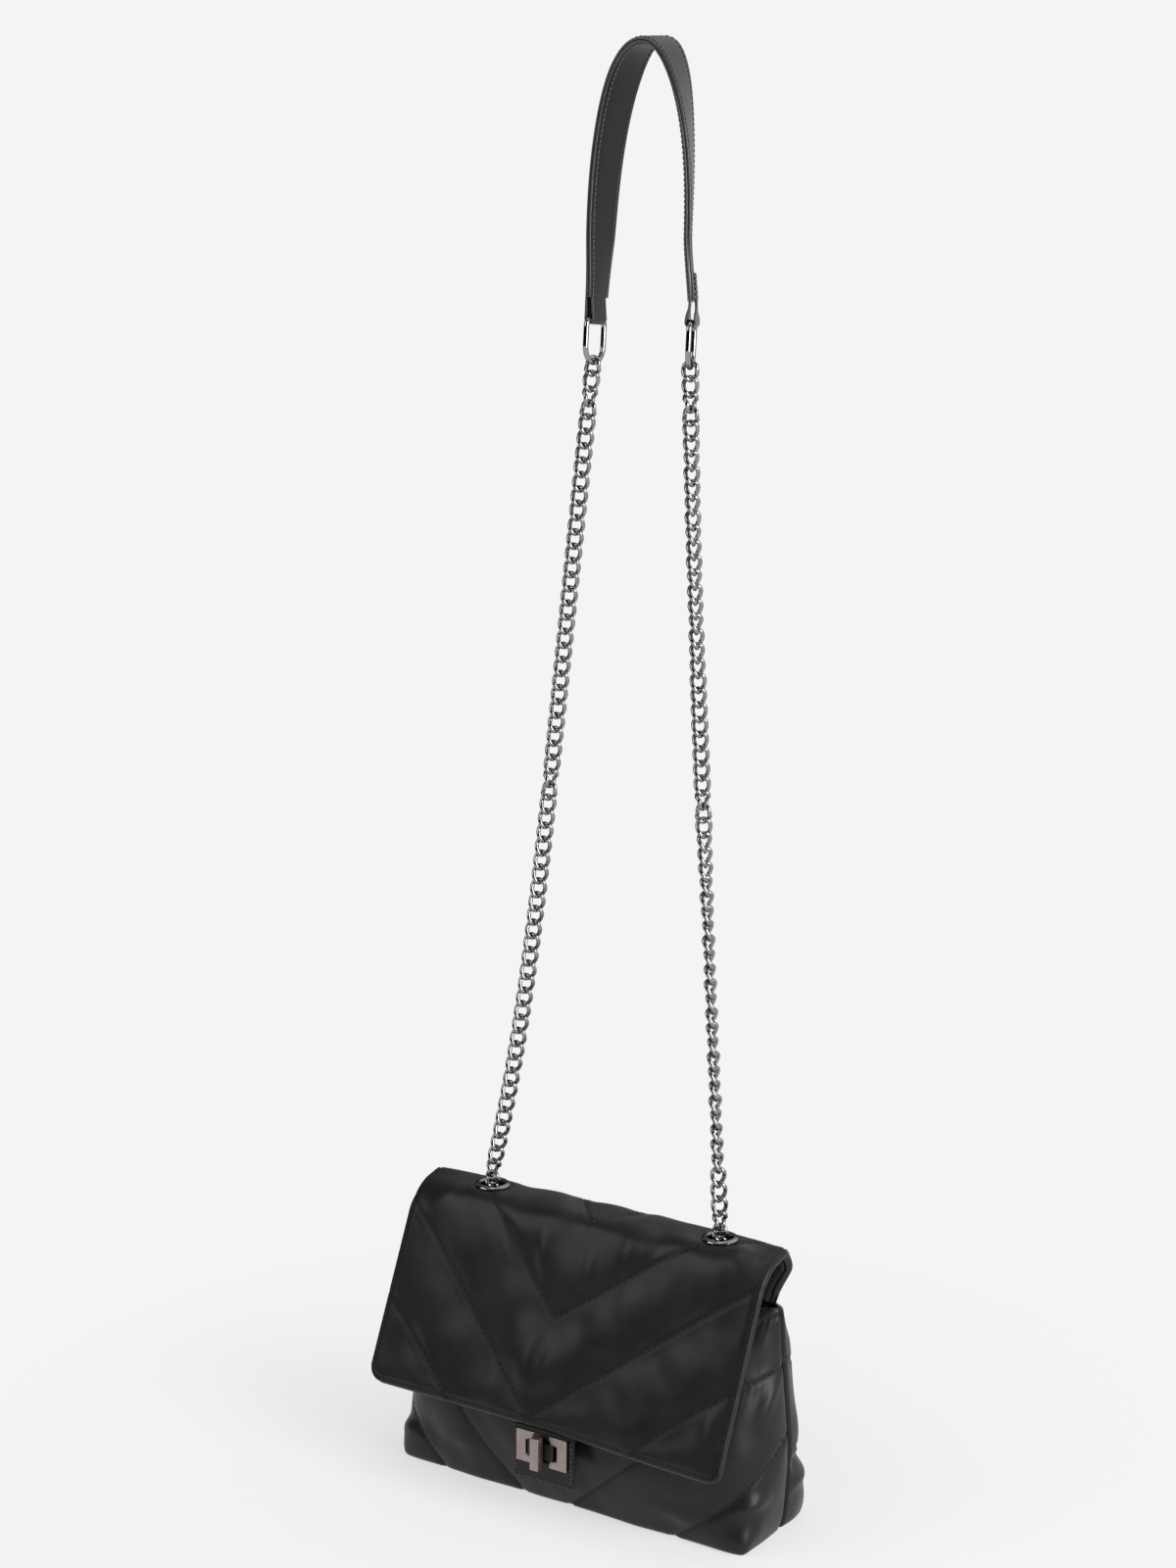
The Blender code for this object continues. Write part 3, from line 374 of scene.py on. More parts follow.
def piece(
    name: str,
    points: Array,
    quads: Array,
    finish: Finish,
    seam: Array | None = None,
    sharp: float | None = None,
) -> Object:
    """Makes a piece of the bag, smooth and with its faces outwards, and links it to the scene.

    Args:
        name: the piece's name.
        points: one row for each vertex.
        quads: one row of four vertices for each face.
        finish: what it is finished in.
        seam: for leather, how close each vertex is to a seam, from 0 to 1; none is nowhere near.
        sharp: the angle in degrees from which an edge stays sharp.

    Returns:
        The object, at the origin.
    """
    mesh = bpy.data.meshes.new(name)
    mesh.vertices.add(len(points))
    mesh.vertices.foreach_set("co", np.ascontiguousarray(points, np.float32).ravel())
    mesh.loops.add(quads.size)
    mesh.loops.foreach_set("vertex_index", quads.astype(np.int32).ravel())
    mesh.polygons.add(len(quads))
    mesh.polygons.foreach_set("loop_start", np.arange(0, quads.size, 4, dtype=np.int32))
    mesh.update(calc_edges=True)
    build = bmesh.new()
    build.from_mesh(mesh)
    bmesh.ops.recalc_face_normals(build, faces=build.faces)
    build.to_mesh(mesh)
    build.free()
    mesh.shade_smooth()
    if isinstance(finish, Leather):
        seam = np.zeros(len(points)) if seam is None else seam
        marks = mesh.attributes.new("seam", "FLOAT", "POINT").data
        marks.foreach_set("value", np.ascontiguousarray(seam, np.float32))
    if sharp is not None:
        mesh.set_sharp_from_angle(angle=math.radians(sharp))
    mesh.materials.append(material_of(finish))
    obj = bpy.data.objects.new(name, mesh)
    bpy.context.scene.collection.objects.link(obj)
    LOG.info("%s: %d vertices", name, len(mesh.vertices))
    return obj


def cells_of(rows: int, columns: int) -> Array:
    """The quads between neighbours in a grid of points that are numbered row by row."""
    index = np.arange(rows * columns).reshape(rows, columns)
    return np.stack([index[:-1, :-1], index[:-1, 1:], index[1:, 1:], index[1:, :-1]], -1)


def shell(
    name: str,
    outer: Array,
    inner: Array,
    finish: Finish,
    keep: Array | None = None,
    seam: Array | None = None,
    sharp: float | None = None,
) -> Object:
    """Makes a piece that is a closed shell between two grids, with a wall round every border and hole.

    Args:
        name: the piece's name.
        outer: the outer grid, rows by columns by 3.
        inner: the inner grid, of the same shape.
        finish: what it is finished in.
        keep: for each cell of the grid, whether it stays.
        seam: for each point of the outer grid, how close it is to a seam.
        sharp: the angle in degrees from which an edge stays sharp.

    Returns:
        The piece.
    """
    rows, columns = outer.shape[:2]
    count = rows * columns
    index = np.arange(count).reshape(rows, columns)
    keep = np.ones((rows - 1, columns - 1), bool) if keep is None else keep
    cells = cells_of(rows, columns)[keep]
    framed = np.pad(keep, 1)
    level = framed[:-1, 1:-1] != framed[1:, 1:-1]
    upright = framed[1:-1, :-1] != framed[1:-1, 1:]
    starts = np.concatenate([index[:, :-1][level], index[:-1, :][upright]])
    ends = np.concatenate([index[:, 1:][level], index[1:, :][upright]])
    walls = np.stack([starts, ends, ends + count, starts + count], -1)
    quads = np.concatenate([cells, cells[:, ::-1] + count, walls])
    used, flat = np.unique(quads, return_inverse=True)
    points = np.concatenate([outer.reshape(-1, 3), inner.reshape(-1, 3)])[used]
    if seam is not None:
        seam = np.append(seam, np.zeros(count))[used]
    return piece(name, points, flat.reshape(quads.shape), finish, seam, sharp)


def tubes(
    name: str, rings: Array, finish: Finish, closed: bool = False, sharp: float | None = None
) -> Object:
    """Makes a piece of tubes through rings of points.

    Args:
        name: the piece's name.
        rings: tubes by stations by sides by 3; a single tube may leave out the first.
        finish: what it is finished in.
        closed: whether each tube's last ring joins its first; an open tube gets a cap of quads at each end.
        sharp: the angle in degrees from which an edge stays sharp.

    Returns:
        The piece.
    """
    rings = rings.reshape(-1, *rings.shape[-3:])
    count, stations, sides = rings.shape[:3]
    index = np.arange(count * stations * sides).reshape(count, stations, sides)
    here, there = (index, np.roll(index, -1, 1)) if closed else (index[:, :-1], index[:, 1:])
    quads = [np.stack([here, np.roll(here, -1, 2), np.roll(there, -1, 2), there], -1).reshape(-1, 4)]
    if not closed:
        steps = np.arange(1, sides // 2)
        corners = (steps - 1, steps, sides - 1 - steps, (sides - steps) % sides)
        for end in (index[:, 0], index[:, -1]):
            quads.append(np.stack([end[:, corner] for corner in corners], -1).reshape(-1, 4))
    return piece(name, rings.reshape(-1, 3), np.concatenate(quads), finish, sharp=sharp)


def unit(vectors: Array) -> Array:
    """The vectors, each with a length of one."""
    return vectors / np.maximum(np.linalg.norm(vectors, axis=-1, keepdims=True), 1e-12)


def grid_normals(grid: Array, outward: Array) -> Array:
    """The normals of a grid: the cross product of its two slopes, turned to the side of outward.

    Args:
        grid: rows by columns by 3.
        outward: for each point, the direction that the normals lean to on the whole.

    Returns:
        Unit normals of the grid's shape, all on the same side of it.
    """
    across = np.gradient(grid, axis=1)
    along = np.gradient(grid, axis=0)
    normals = unit(np.cross(across, along))
    return normals * np.sign((normals * outward).sum())


def blur(values: Array, reach: float, axis: int = 0) -> Array:
    """Blurs an array along one axis with a bell, and keeps its two ends in place.

    Args:
        values: the array.
        reach: the bell's standard deviation in cells.
        axis: the axis.

    Returns:
        The blurred array. Beyond its ends it is carried on straight: twice the end less its mirror image.
    """
    values = np.moveaxis(values, axis, 0)
    half = int(math.ceil(3 * reach))
    bell = np.exp(-0.5 * (np.arange(-half, half + 1) / reach) ** 2)
    bell /= bell.sum()
    before = 2 * values[:1] - values[half:0:-1]
    after = 2 * values[-1:] - values[-2 : -half - 2 : -1]
    padded = np.concatenate([before, values, after])
    result = sum(weight * padded[shift : shift + len(values)] for shift, weight in enumerate(bell))
    return np.moveaxis(result, 0, axis)


def soft_noise(shape: tuple[int, int], cell: float, sizes: Pair, seed: int) -> Array:
    """A smooth random field: white noise whose fine waves are filtered out by a bell in frequency.

    Args:
        shape: rows and columns.
        cell: the size of a cell.
        sizes: the size of the field's lumps along the rows' axis and the columns' axis.
        seed: the seed of the noise.

    Returns:
        The field, with a spread of one.
    """
    white = np.random.default_rng(seed).standard_normal(shape)
    down = np.fft.fftfreq(shape[0], cell)[:, None] * sizes[0]
    across = np.fft.rfftfreq(shape[1], cell)[None, :] * sizes[1]
    field = np.fft.irfft2(np.fft.rfft2(white) * np.exp(-2 * (down**2 + across**2)), s=shape)
    return (field - field.mean()) / field.std()


def sampled(grid: Array, rows: Array, columns: Array) -> Array:
    """Reads a grid between its points, in straight steps along both axes.

    Args:
        grid: rows by columns by values.
        rows: where along the rows, as fractional numbers.
        columns: where along the columns.

    Returns:
        The values there.
    """
    rows = np.clip(rows, 0, grid.shape[0] - 1.001)
    columns = np.clip(columns, 0, grid.shape[1] - 1.001)
    top, left = rows.astype(int), columns.astype(int)
    down, right = (rows - top)[..., None], (columns - left)[..., None]
    upper = grid[top, left] * (1 - right) + grid[top, left + 1] * right
    lower = grid[top + 1, left] * (1 - right) + grid[top + 1, left + 1] * right
    return upper * (1 - down) + lower * down


def run_of(points: Array) -> Array:
    """How long a line is up to each of its points."""
    return np.concatenate(([0], np.cumsum(np.linalg.norm(np.diff(points, axis=0), axis=-1))))


def read(rows: Array, run: Array, places: Array) -> Array:
    """Reads rows of numbers, which stand at the places in run, at other places in straight steps."""
    return np.stack([np.interp(places, run, column) for column in rows.T], -1)


def rounded(edge: Array, radius: float, drop: float) -> Array:
    """How far a surface sinks by its edge: a quarter of an ellipse, radius wide and drop deep.

    Args:
        edge: the distance from the edge.
        radius: how far in the rounding starts.
        drop: how far the surface has sunk at the edge.

    Returns:
        The sinking at each point.
    """
    near = 1 - np.clip(edge / radius, 0, 1)
    return drop * (1 - np.sqrt(1 - near**2))


def smoothstep(share: Array) -> Array:
    """The share's smooth ramp from 0 to 1: 3 s^2 - 2 s^3."""
    share = np.clip(share, 0, 1)
    return share * share * (3 - 2 * share)


# Quilting


@dataclass(frozen=True)
class Chevron:
    """A line of quilting like a V: its point, how steeply its arms rise, and where they flatten."""

    across: float
    down: float
    left: float = 1.0
    right: float = 1.0
    bend: float = 1.0
    flat: float = 0.5

    def line(self, across: Array) -> Array:
        """How far down the line lies: its point less slope times the distance, less flat times the rest.

        Args:
            across: the place across the panel.

        Returns:
            The place down the panel.
        """
        away = np.abs(across - self.across)
        slope = np.where(across < self.across, self.left, self.right)
        return self.down - slope * np.minimum(away, self.bend) - self.flat * np.maximum(away - self.bend, 0)

    def slope(self, across: Array) -> Array:
        """The steepness of the line at a place across the panel."""
        away = np.abs(across - self.across)
        return np.where(away > self.bend, self.flat, np.where(across < self.across, self.left, self.right))


@dataclass(frozen=True)
class Wrinkle:
    """A soft ridge or dent of the leather along a short straight line."""

    start: Pair
    end: Pair
    width: float
    height: float

    def lift(self, across: Array, down: Array) -> Array:
        """Its height: a bell across the line, which fades to nothing at both its ends.

        Args:
            across: the place across the panel.
            down: the place down the panel.

        Returns:
            The height at each point.
        """
        run = np.subtract(self.end, self.start)
        length = float(np.hypot(*run))
        along = ((across - self.start[0]) * run[0] + (down - self.start[1]) * run[1]) / length
        off = ((across - self.start[0]) * -run[1] + (down - self.start[1]) * run[0]) / length
        share = np.clip(along / length, 0, 1)
        return self.height * np.exp(-((off / self.width) ** 2)) * np.sin(math.pi * share) ** 1.5


@dataclass(frozen=True)
class Quilting:
    """How a panel is quilted: its lines, its puff between them and the pucker along them.

    The puff counts from any line or edge: hold is how far the simulated sheet stays down there, and ease
    how far the leather has no lumps or wrinkles. Fullness gives the puff's share by the place across.
    """

    chevrons: tuple[Chevron, ...]
    wrinkles: tuple[Wrinkle, ...]
    puff: float = 0.0017
    reach: float = 0.0120
    groove: float = 0.0009
    groove_width: float = 0.0013
    shade_width: float = 0.0011
    pucker: float = 0.00030
    pucker_start: float = 0.0015
    pucker_reach: float = 0.0050
    pitch: float = 0.0040
    hold: float = 0.0030
    ease: float = 0.0045
    lump: float = 0.00028
    sewn: float = 1.9 * MM
    sheet_step: int = 3
    sheet_blur: float = 2.4
    moments: int = 20
    cap: float = 0.0034
    seed: int = 5
    fullness: tuple[Pair, ...] = ((0.0, 1.0),)

    def seams(self, across: Array, down: Array) -> tuple[Array, Array]:
        """The distance to the nearest line of quilting, and the place along that line.

        Args:
            across: the place across the panel.
            down: the place down the panel.

        Returns:
            The distance, as the drop to the line times the cosine of its slope, and the run along the line.
        """
        slopes = np.stack([chevron.slope(across) for chevron in self.chevrons])
        drops = np.stack([np.abs(down - chevron.line(across)) for chevron in self.chevrons])
        away = np.stack([np.abs(across - chevron.across) for chevron in self.chevrons])
        distance = drops / np.hypot(1, slopes)
        nearest = distance.argmin(0)[None]
        run = np.take_along_axis(away * np.hypot(1, slopes), nearest, 0)[0]
        return np.take_along_axis(distance, nearest, 0)[0], run

    def pillow(self, distance: Array, edge: Array) -> Array:
        """The plain puff: it rises from seams and edges as 1 - exp(-(d / reach)^1.5)."""
        held = np.minimum(distance, edge)
        return self.puff * (1 - np.exp(-((held / self.reach) ** 1.5)))

    def heights(
        self, base: Array, normals: Array, across: Array, down: Array, edge: Array
    ) -> tuple[Array, Array]:
        """The height of the quilted leather over its base.

        Args:
            base: the panel's grid, rows by columns by 3.
            normals: its normals.
            across: each point's place across the panel.
            down: each point's place down the panel.
            edge: each point's distance from whatever else holds the leather down.

        Returns:
            The heights, and how close each point is to a seam, from 0 to 1. The puff comes from a simulated
            sheet. Grooves are bells round the lines, and puckers are waves of one stitch along them.
        """
        distance, run = self.seams(across, down)
        puffed = self.simulated(base, normals, distance, edge)
        full = np.interp(across, *np.transpose(self.fullness))
        loose = 1 - np.exp(-((np.minimum(distance, edge) / self.ease) ** 2))
        lumps = soft_noise(distance.shape, NOISE_CELL, (26 * MM, 16 * MM), self.seed)
        heights = puffed * full + self.lump * loose * lumps
        for wrinkle in self.wrinkles:
            heights = heights + loose * wrinkle.lift(across, down)
        uneven = 0.6 + 0.4 * soft_noise(distance.shape, NOISE_CELL, (6 * MM, 6 * MM), self.seed + 2)
        wave = np.cos(2 * math.pi * run / self.pitch)
        fade = np.exp(-distance / self.pucker_reach) * np.clip(distance / self.pucker_start, 0, 1)
        groove = self.groove * (0.3 + 0.7 * full) * np.exp(-((distance / self.groove_width) ** 2))
        heights = heights - groove + self.pucker * uneven * wave * fade
        return heights, np.exp(-((distance / self.shade_width) ** 2))

    def simulated(self, base: Array, normals: Array, distance: Array, edge: Array) -> Array:
        """Blows up a loose sheet that is sewn down along the seams, and reads its height.

        Args:
            base: the panel's grid.
            normals: its normals.
            distance: the distance to the seams.
            edge: the distance to the edges.

        Returns:
            The height at each point of the grid, capped, and laid down smoothly to the seams.
        """
        sizes = base.shape[:2]
        kept = [np.unique(np.append(np.arange(0, size, self.sheet_step), size - 1)) for size in sizes]
        coarse = base[np.ix_(*kept)]
        outs = normals[np.ix_(*kept)]
        held = np.minimum(distance, edge)
        quads = cells_of(*coarse.shape[:2]).reshape(-1, 4)
        mesh = bpy.data.meshes.new("sheet")
        mesh.from_pydata(coarse.reshape(-1, 3).tolist(), [], quads.tolist())
        middle = len(quads) // 2
        if Vector(mesh.polygons[middle].normal).dot(Vector(outs.reshape(-1, 3)[quads[middle][0]])) < 0:
            mesh.flip_normals()
        obj = bpy.data.objects.new("sheet", mesh)
        scene = bpy.context.scene
        scene.collection.objects.link(obj)
        sewn = obj.vertex_groups.new(name="sewn")
        sewn.add(np.flatnonzero(held[np.ix_(*kept)].ravel() < self.sewn).tolist(), 1.0, "REPLACE")
        cloth = obj.modifiers.new("puffed", "CLOTH")
        for name, value in SHEET.items():
            setattr(cloth.settings, name, value)
        cloth.settings.effector_weights.gravity = 0
        cloth.collision_settings.use_collision = False
        for moment in range(1, self.moments + 1):
            scene.frame_set(moment)
        result = obj.evaluated_get(bpy.context.evaluated_depsgraph_get())
        settled = np.empty(coarse.size, np.float32)
        result.to_mesh().vertices.foreach_get("co", settled)
        result.to_mesh_clear()
        bpy.data.objects.remove(obj, do_unlink=True)
        scene.frame_set(1)
        lift = ((settled.reshape(coarse.shape) - coarse) * outs).sum(-1)
        lift = self.cap * np.tanh(lift / self.cap)
        LOG.info("simulated sheet: %d points, %.2f to %.2f mm", lift.size, lift.min() / MM, lift.max() / MM)
        spots = [np.interp(np.arange(size), rows, np.arange(len(rows))) for size, rows in zip(sizes, kept)]
        fine = sampled(lift[..., None], *np.meshgrid(*spots, indexing="ij"))[..., 0]
        fine = blur(blur(fine, self.sheet_blur, 0), self.sheet_blur, 1)
        return fine * (1 - np.exp(-((held / self.hold) ** 2))) + 0.25 * self.pillow(distance, edge)

    def stitches(self, low: float, high: float, reach: float) -> tuple[Array, Array, Array]:
        """Places for stitches along every line, one pitch apart.

        Args:
            low: the least place down the panel.
            high: the greatest place down the panel.
            reach: how far across the lines run.

        Returns:
            The places across and down, and the direction of each stitch as across and down.
        """
        across, down, ways = [], [], []
        for chevron in self.chevrons:
            for side in (-1, 1):
                steep = chevron.left if side < 0 else chevron.right
                step = self.pitch / math.hypot(1, steep)
                at = chevron.across + side * np.arange(step / 2, reach * 2, step)
                line = chevron.line(at)
                inside = (line > low) & (line < high) & (np.abs(at) < reach)
                slope = chevron.slope(at)[inside]
                across.append(at[inside])
                down.append(line[inside])
                ways.append(unit(np.stack([np.full(slope.shape, float(side)), -slope], -1)))
        return np.concatenate(across), np.concatenate(down), np.concatenate(ways)


@dataclass(frozen=True)
class Stitching:
    """Rows of stitches: small capsules of thread that dip into the leather at both ends."""

    length: float = 0.0028
    thickness: float = 0.00062
    finish: Finish = QUILT_THREAD
    sides: int = 6

    def rings(self, middles: Array, ways: Array, outs: Array) -> Array:
        """The rings of every stitch: four sections, the outer two thin and sunk.

        Args:
            middles: the stitches' middles.
            ways: the directions along them.
            outs: the directions out of the leather.

        Returns:
            Rings for tubes().
        """
        ways = unit(ways)
        outs = unit(outs - ways * (outs * ways).sum(-1, keepdims=True))
        aside = np.cross(ways, outs)
        along = np.array([-0.5, -0.34, 0.34, 0.5])[:, None] * self.length
        sinks = np.array([-0.55, 0.1, 0.1, -0.55])[:, None] * self.thickness
        radii = np.array([0.35, 1.0, 1.0, 0.35])[:, None, None] * self.thickness / 2
        turn = 2 * math.pi * (np.arange(self.sides)[:, None] + 0.5) / self.sides
        centre = middles[:, None] + ways[:, None] * along + outs[:, None] * sinks
        ring = outs[:, None] * np.sin(turn) + aside[:, None] * np.cos(turn)
        return centre[:, :, None] + ring[:, None] * radii

    def sew(self, name: str, rows: list[tuple[Array, Array, Array]]) -> Object:
        """Makes one piece of all the stitches of a part.

        Args:
            name: the piece's name.
            rows: for each row of stitches what rings() takes.

        Returns:
            The piece.
        """
        return tubes(name, self.rings(*(np.concatenate(part) for part in zip(*rows))), self.finish)


# Pouch


@dataclass(frozen=True)
class PouchShape:
    """The pouch's form: upright sections that are flat ellipses above and boxed below.

    The rows give a height's share, then side, front and back as shares of the reaches, and how square the
    front's and the back's corners are.
    """

    height: float = 0.130
    side: float = 0.121
    front: float = 0.0535
    back: float = 0.044
    parting: float = 0.00015
    rows: tuple[tuple[float, ...], ...] = (
        (0.000, 0.952, 0.768, 0.890, 26.0, 6.0),
        (0.060, 0.972, 0.813, 0.950, 10.0, 4.8),
        (0.155, 0.980, 0.893, 0.950, 4.3, 3.6),
        (0.277, 0.990, 0.972, 0.940, 3.6, 2.6),
        (0.415, 0.990, 1.000, 0.960, 3.0, 2.5),
        (0.615, 0.967, 0.916, 0.955, 2.5, 2.4),
        (0.810, 0.946, 0.710, 0.750, 2.2, 2.7),
        (1.000, 0.934, 0.393, 0.455, 1.9, 1.9),
    )

    def sections(self, heights: Array) -> Array:
        """The rows at the given heights, in straight steps that are then blurred over 4 mm.

        Args:
            heights: the heights.

        Returns:
            Side, front, back and the two squarenesses for each height.
        """
        table = np.array(self.rows)
        fine = np.linspace(0, 1, 261)
        soft = blur(read(table[:, 1:], table[:, 0], fine), 8)
        return read(soft, fine, heights / self.height) * (self.side, self.front, self.back, 1, 1)

    def half(self, facing: Facing, heights: Array, shares: Array) -> tuple[Array, Array]:
        """One panel's surface over heights and shares of the way round, from -1 to 1.

        Args:
            facing: which panel.
            heights: the heights of the rows.
            shares: the shares of the columns.

        Returns:
            The grid, and each row's length from its middle to the seam. A section is the curve
            |x / side|^n + |y / depth|^n = 1, read at even steps of its own length.
        """
        grid = np.empty((len(heights), len(shares), 3))
        lengths = np.empty(len(heights))
        turn = np.linspace(0, math.pi, 721)
        for row, (side, front, back, front_square, back_square) in enumerate(self.sections(heights)):
            depth, square = (front, front_square) if facing is Facing.FRONT else (back, back_square)
            x = -side * np.sign(np.cos(turn)) * np.abs(np.cos(turn)) ** (2 / square)
            y = self.parting + depth * np.abs(np.sin(turn)) ** (2 / square)
            run = np.concatenate(([0], np.cumsum(np.hypot(np.diff(x), np.diff(y)))))
            lengths[row] = run[-1] / 2
            at = (shares + 1) * lengths[row]
            grid[row, :, 0] = np.interp(at, run, x)
            grid[row, :, 1] = facing.value * np.interp(at, run, y)
            grid[row, :, 2] = heights[row]
        return grid, lengths

    def ring(self, height: float, inset: float, count: int = 160) -> Array:
        """The whole outline at a height, moved in by an inset.

        Args:
            height: the height.
            inset: how far in.
            count: points on each half.

        Returns:
            The outline's points, which run once round.
        """
        shares = np.linspace(-1, 1, count + 1)
        halves = []
        for facing in Facing:
            line = self.half(facing, np.array([height]), shares)[0][0]
            run = unit(np.gradient(line, axis=0))
            inward = np.cross(run, (0, 0, 1)) * facing.value
            moved = line + inward * inset * np.sign((inward * -line).sum(-1).mean())
            moved[[0, -1], 1] = 0
            halves.append(moved)
        return np.concatenate([halves[0], halves[1][::-1][1:-1]])


@dataclass(frozen=True)
class Pouch:
    """The pouch: two quilted panels sewn at their sides, a leather bottom over a board, and a lining.

    Pairs are the reach and the depth of a rounding, or half the width and half the height of the ground
    that is kept flat, and then free of stitches, round the lock.
    """

    shape: PouchShape = PouchShape()
    cell: float = 0.0014
    half_run: float = 0.150
    lean: float = 0.3
    thickness: float = 0.0046
    side_roll: Pair = (0.0030, 0.0024)
    foot_roll: Pair = (0.0025, 0.0008)
    rim: float = 0.0026
    lock_ground: Pair = (0.014, 0.008)
    lock_free: Pair = (0.016, 0.010)
    side_shade: float = 0.0012
    sewn_low: float = 0.003
    sewn_high: float = 0.002
    sewn_share: float = 0.985
    bottom: float = 0.004
    bottom_inset: float = 0.0056
    lining_low: float = 0.0066
    lining_inset: float = 0.0068
    lining_thickness: float = 0.0010
    lining_drop: float = 0.0022
    front_quilting: Quilting = Quilting(
        chevrons=(
            Chevron(-0.0225, 0.0739, 1.25, 0.77, 0.0716, 0.80),
            Chevron(-0.014, 0.0158, 1.17, 0.88, 0.119, 0.32),
            Chevron(-0.008, -0.036, 1.18, 0.85, 0.085, 0.45),
            Chevron(-0.008, -0.086, 1.18, 0.85, 0.085, 0.45),
        ),
        wrinkles=(
            Wrinkle((0.098, -0.0240), (0.136, -0.0290), 0.0050, 0.0028),
            Wrinkle((0.098, -0.0130), (0.128, -0.0150), 0.0060, -0.0012),
            Wrinkle((0.119, -0.062), (0.128, -0.096), 0.0050, 0.0018),
            Wrinkle((-0.150, -0.040), (-0.100, -0.055), 0.0050, 0.0016),
            Wrinkle((-0.140, -0.012), (-0.095, -0.020), 0.0040, 0.0014),
            Wrinkle((-0.085, -0.022), (-0.050, -0.030), 0.0060, 0.0014),
            Wrinkle((0.060, -0.020), (0.090, -0.014), 0.0050, 0.0012),
        ),
        seed=11,
    )
    back_quilting: Quilting = Quilting(
        chevrons=(
            Chevron(0.0, 0.062, 1.0, 1.0, 0.090, 0.50),
            Chevron(0.0, 0.008, 1.0, 1.0, 0.090, 0.50),
            Chevron(0.0, -0.046, 1.0, 1.0, 0.090, 0.50),
            Chevron(0.0, -0.100, 1.0, 1.0, 0.090, 0.50),
        ),
        wrinkles=(
            Wrinkle((0.100, -0.030), (0.150, -0.024), 0.0045, 0.0020),
            Wrinkle((0.100, -0.042), (0.156, -0.036), 0.0036, -0.0032),
            Wrinkle((-0.150, -0.036), (-0.100, -0.028), 0.0045, 0.0020),
            Wrinkle((-0.040, -0.112), (-0.034, -0.076), 0.0040, 0.0012),
            Wrinkle((0.030, -0.115), (0.038, -0.080), 0.0040, 0.0012),
        ),
        seed=23,
    )

    def panel(self, facing: Facing, quilting: Quilting) -> tuple[Object, Object]:
        """One quilted panel and its stitches.

        Args:
            facing: which panel.
            quilting: how it is quilted.

        Returns:
            The panel and its stitching. The outer face is the base plus the quilt's height along its
            normals, rounded off at the mouth, the foot and the side seams.
        """
        height = self.shape.height
        heights = np.linspace(0, height, round(height / self.cell) + 1)
        shares = np.linspace(-1, 1, 2 * round(self.half_run / self.cell) + 1)
        base, lengths = self.shape.half(facing, heights, shares)
        x = base[..., 0]
        ahead = np.full(x.shape, float(facing.value))
        normals = grid_normals(base, np.stack([x * self.lean, ahead, 0 * x], -1))
        across = shares[None, :] * lengths[:, None]
        down = -np.repeat(heights[:, None], len(shares), 1)
        side_edge = (1 - np.abs(shares))[None, :] * lengths[:, None]
        top_edge = height + down
        foot_edge = -down
        edge = np.minimum(np.minimum(side_edge, top_edge), foot_edge + 0.002)
        if facing is Facing.FRONT:
            wide, tall = self.lock_ground
            aside = np.maximum(np.abs(across) - wide, 0)
            edge = np.minimum(edge, np.hypot(aside, np.maximum(np.abs(down + LOCK_HEIGHT) - tall, 0)))
        lifts, seam = quilting.heights(base, normals, across, down, edge)
        top_sunk = rounded(top_edge, self.rim, self.thickness / 2)
        sunk = rounded(side_edge, *self.side_roll) + top_sunk
        sunk = sunk + rounded(foot_edge, *self.foot_roll)
        outer = base + normals * (lifts - sunk)[..., None]
        outer[..., 2] = np.clip(outer[..., 2], 0, height)
        inner = base - normals * (self.thickness - top_sunk)[..., None]
        for grid in (outer, inner):
            grid[:, [0, -1], 1] = facing.value * self.shape.parting
            grid[..., 1] = facing.value * np.maximum(facing.value * grid[..., 1], self.shape.parting)
        seam = np.maximum(seam, np.exp(-((side_edge / self.side_shade) ** 2)))
        word = facing.name.lower()
        quilt = shell(f"{word}_quilt", outer, inner, QUILT_CALF, seam=seam)
        at, fall, ways = quilting.stitches(self.sewn_low - height, -self.sewn_high, self.half_run)
        row = -fall / heights[1]
        half_length = np.interp(-fall, heights, lengths)
        share = at / half_length
        fits = np.abs(share) < self.sewn_share
        if facing is Facing.FRONT:
            wide, tall = self.lock_free
            fits &= ~((np.abs(at) < wide) & (np.abs(fall + LOCK_HEIGHT) < tall))
        column = (share + 1) / 2 * (len(shares) - 1)
        row, column, ways = row[fits], column[fits], ways[fits]
        ahead_row = row - ways[:, 1] * AHEAD / heights[1]
        ahead_column = column + ways[:, 0] * AHEAD / (half_length[fits] * (2 / (len(shares) - 1)))
        runs = sampled(base, ahead_row, ahead_column) - sampled(base, row, column)
        stitches = (sampled(outer, row, column), runs, sampled(normals, row, column))
        return quilt, Stitching().sew(f"{word}_stitching", [stitches])

    def bottom_leather(self) -> Object:
        """The bottom: flat leather with a rounded edge, as rings from its lower to its upper middle."""
        radius = self.bottom / 2
        flat = [self.shape.ring(0.0, self.bottom_inset) * (share, share, 1) for share in (0.04, 0.5, 0.9)]
        rings = list(flat)
        for turn in np.linspace(-math.pi / 2, math.pi / 2, 11):
            ring = self.shape.ring(self.bottom, self.bottom_inset + radius * (1 - math.cos(turn)) * 0.6)
            ring[:, 2] = radius * (1 + math.sin(turn))
            rings.append(ring)
        rings += [ring + (0, 0, self.bottom) for ring in flat[::-1]]
        return tubes("bottom_leather", np.stack(rings), QUILT_CALF)

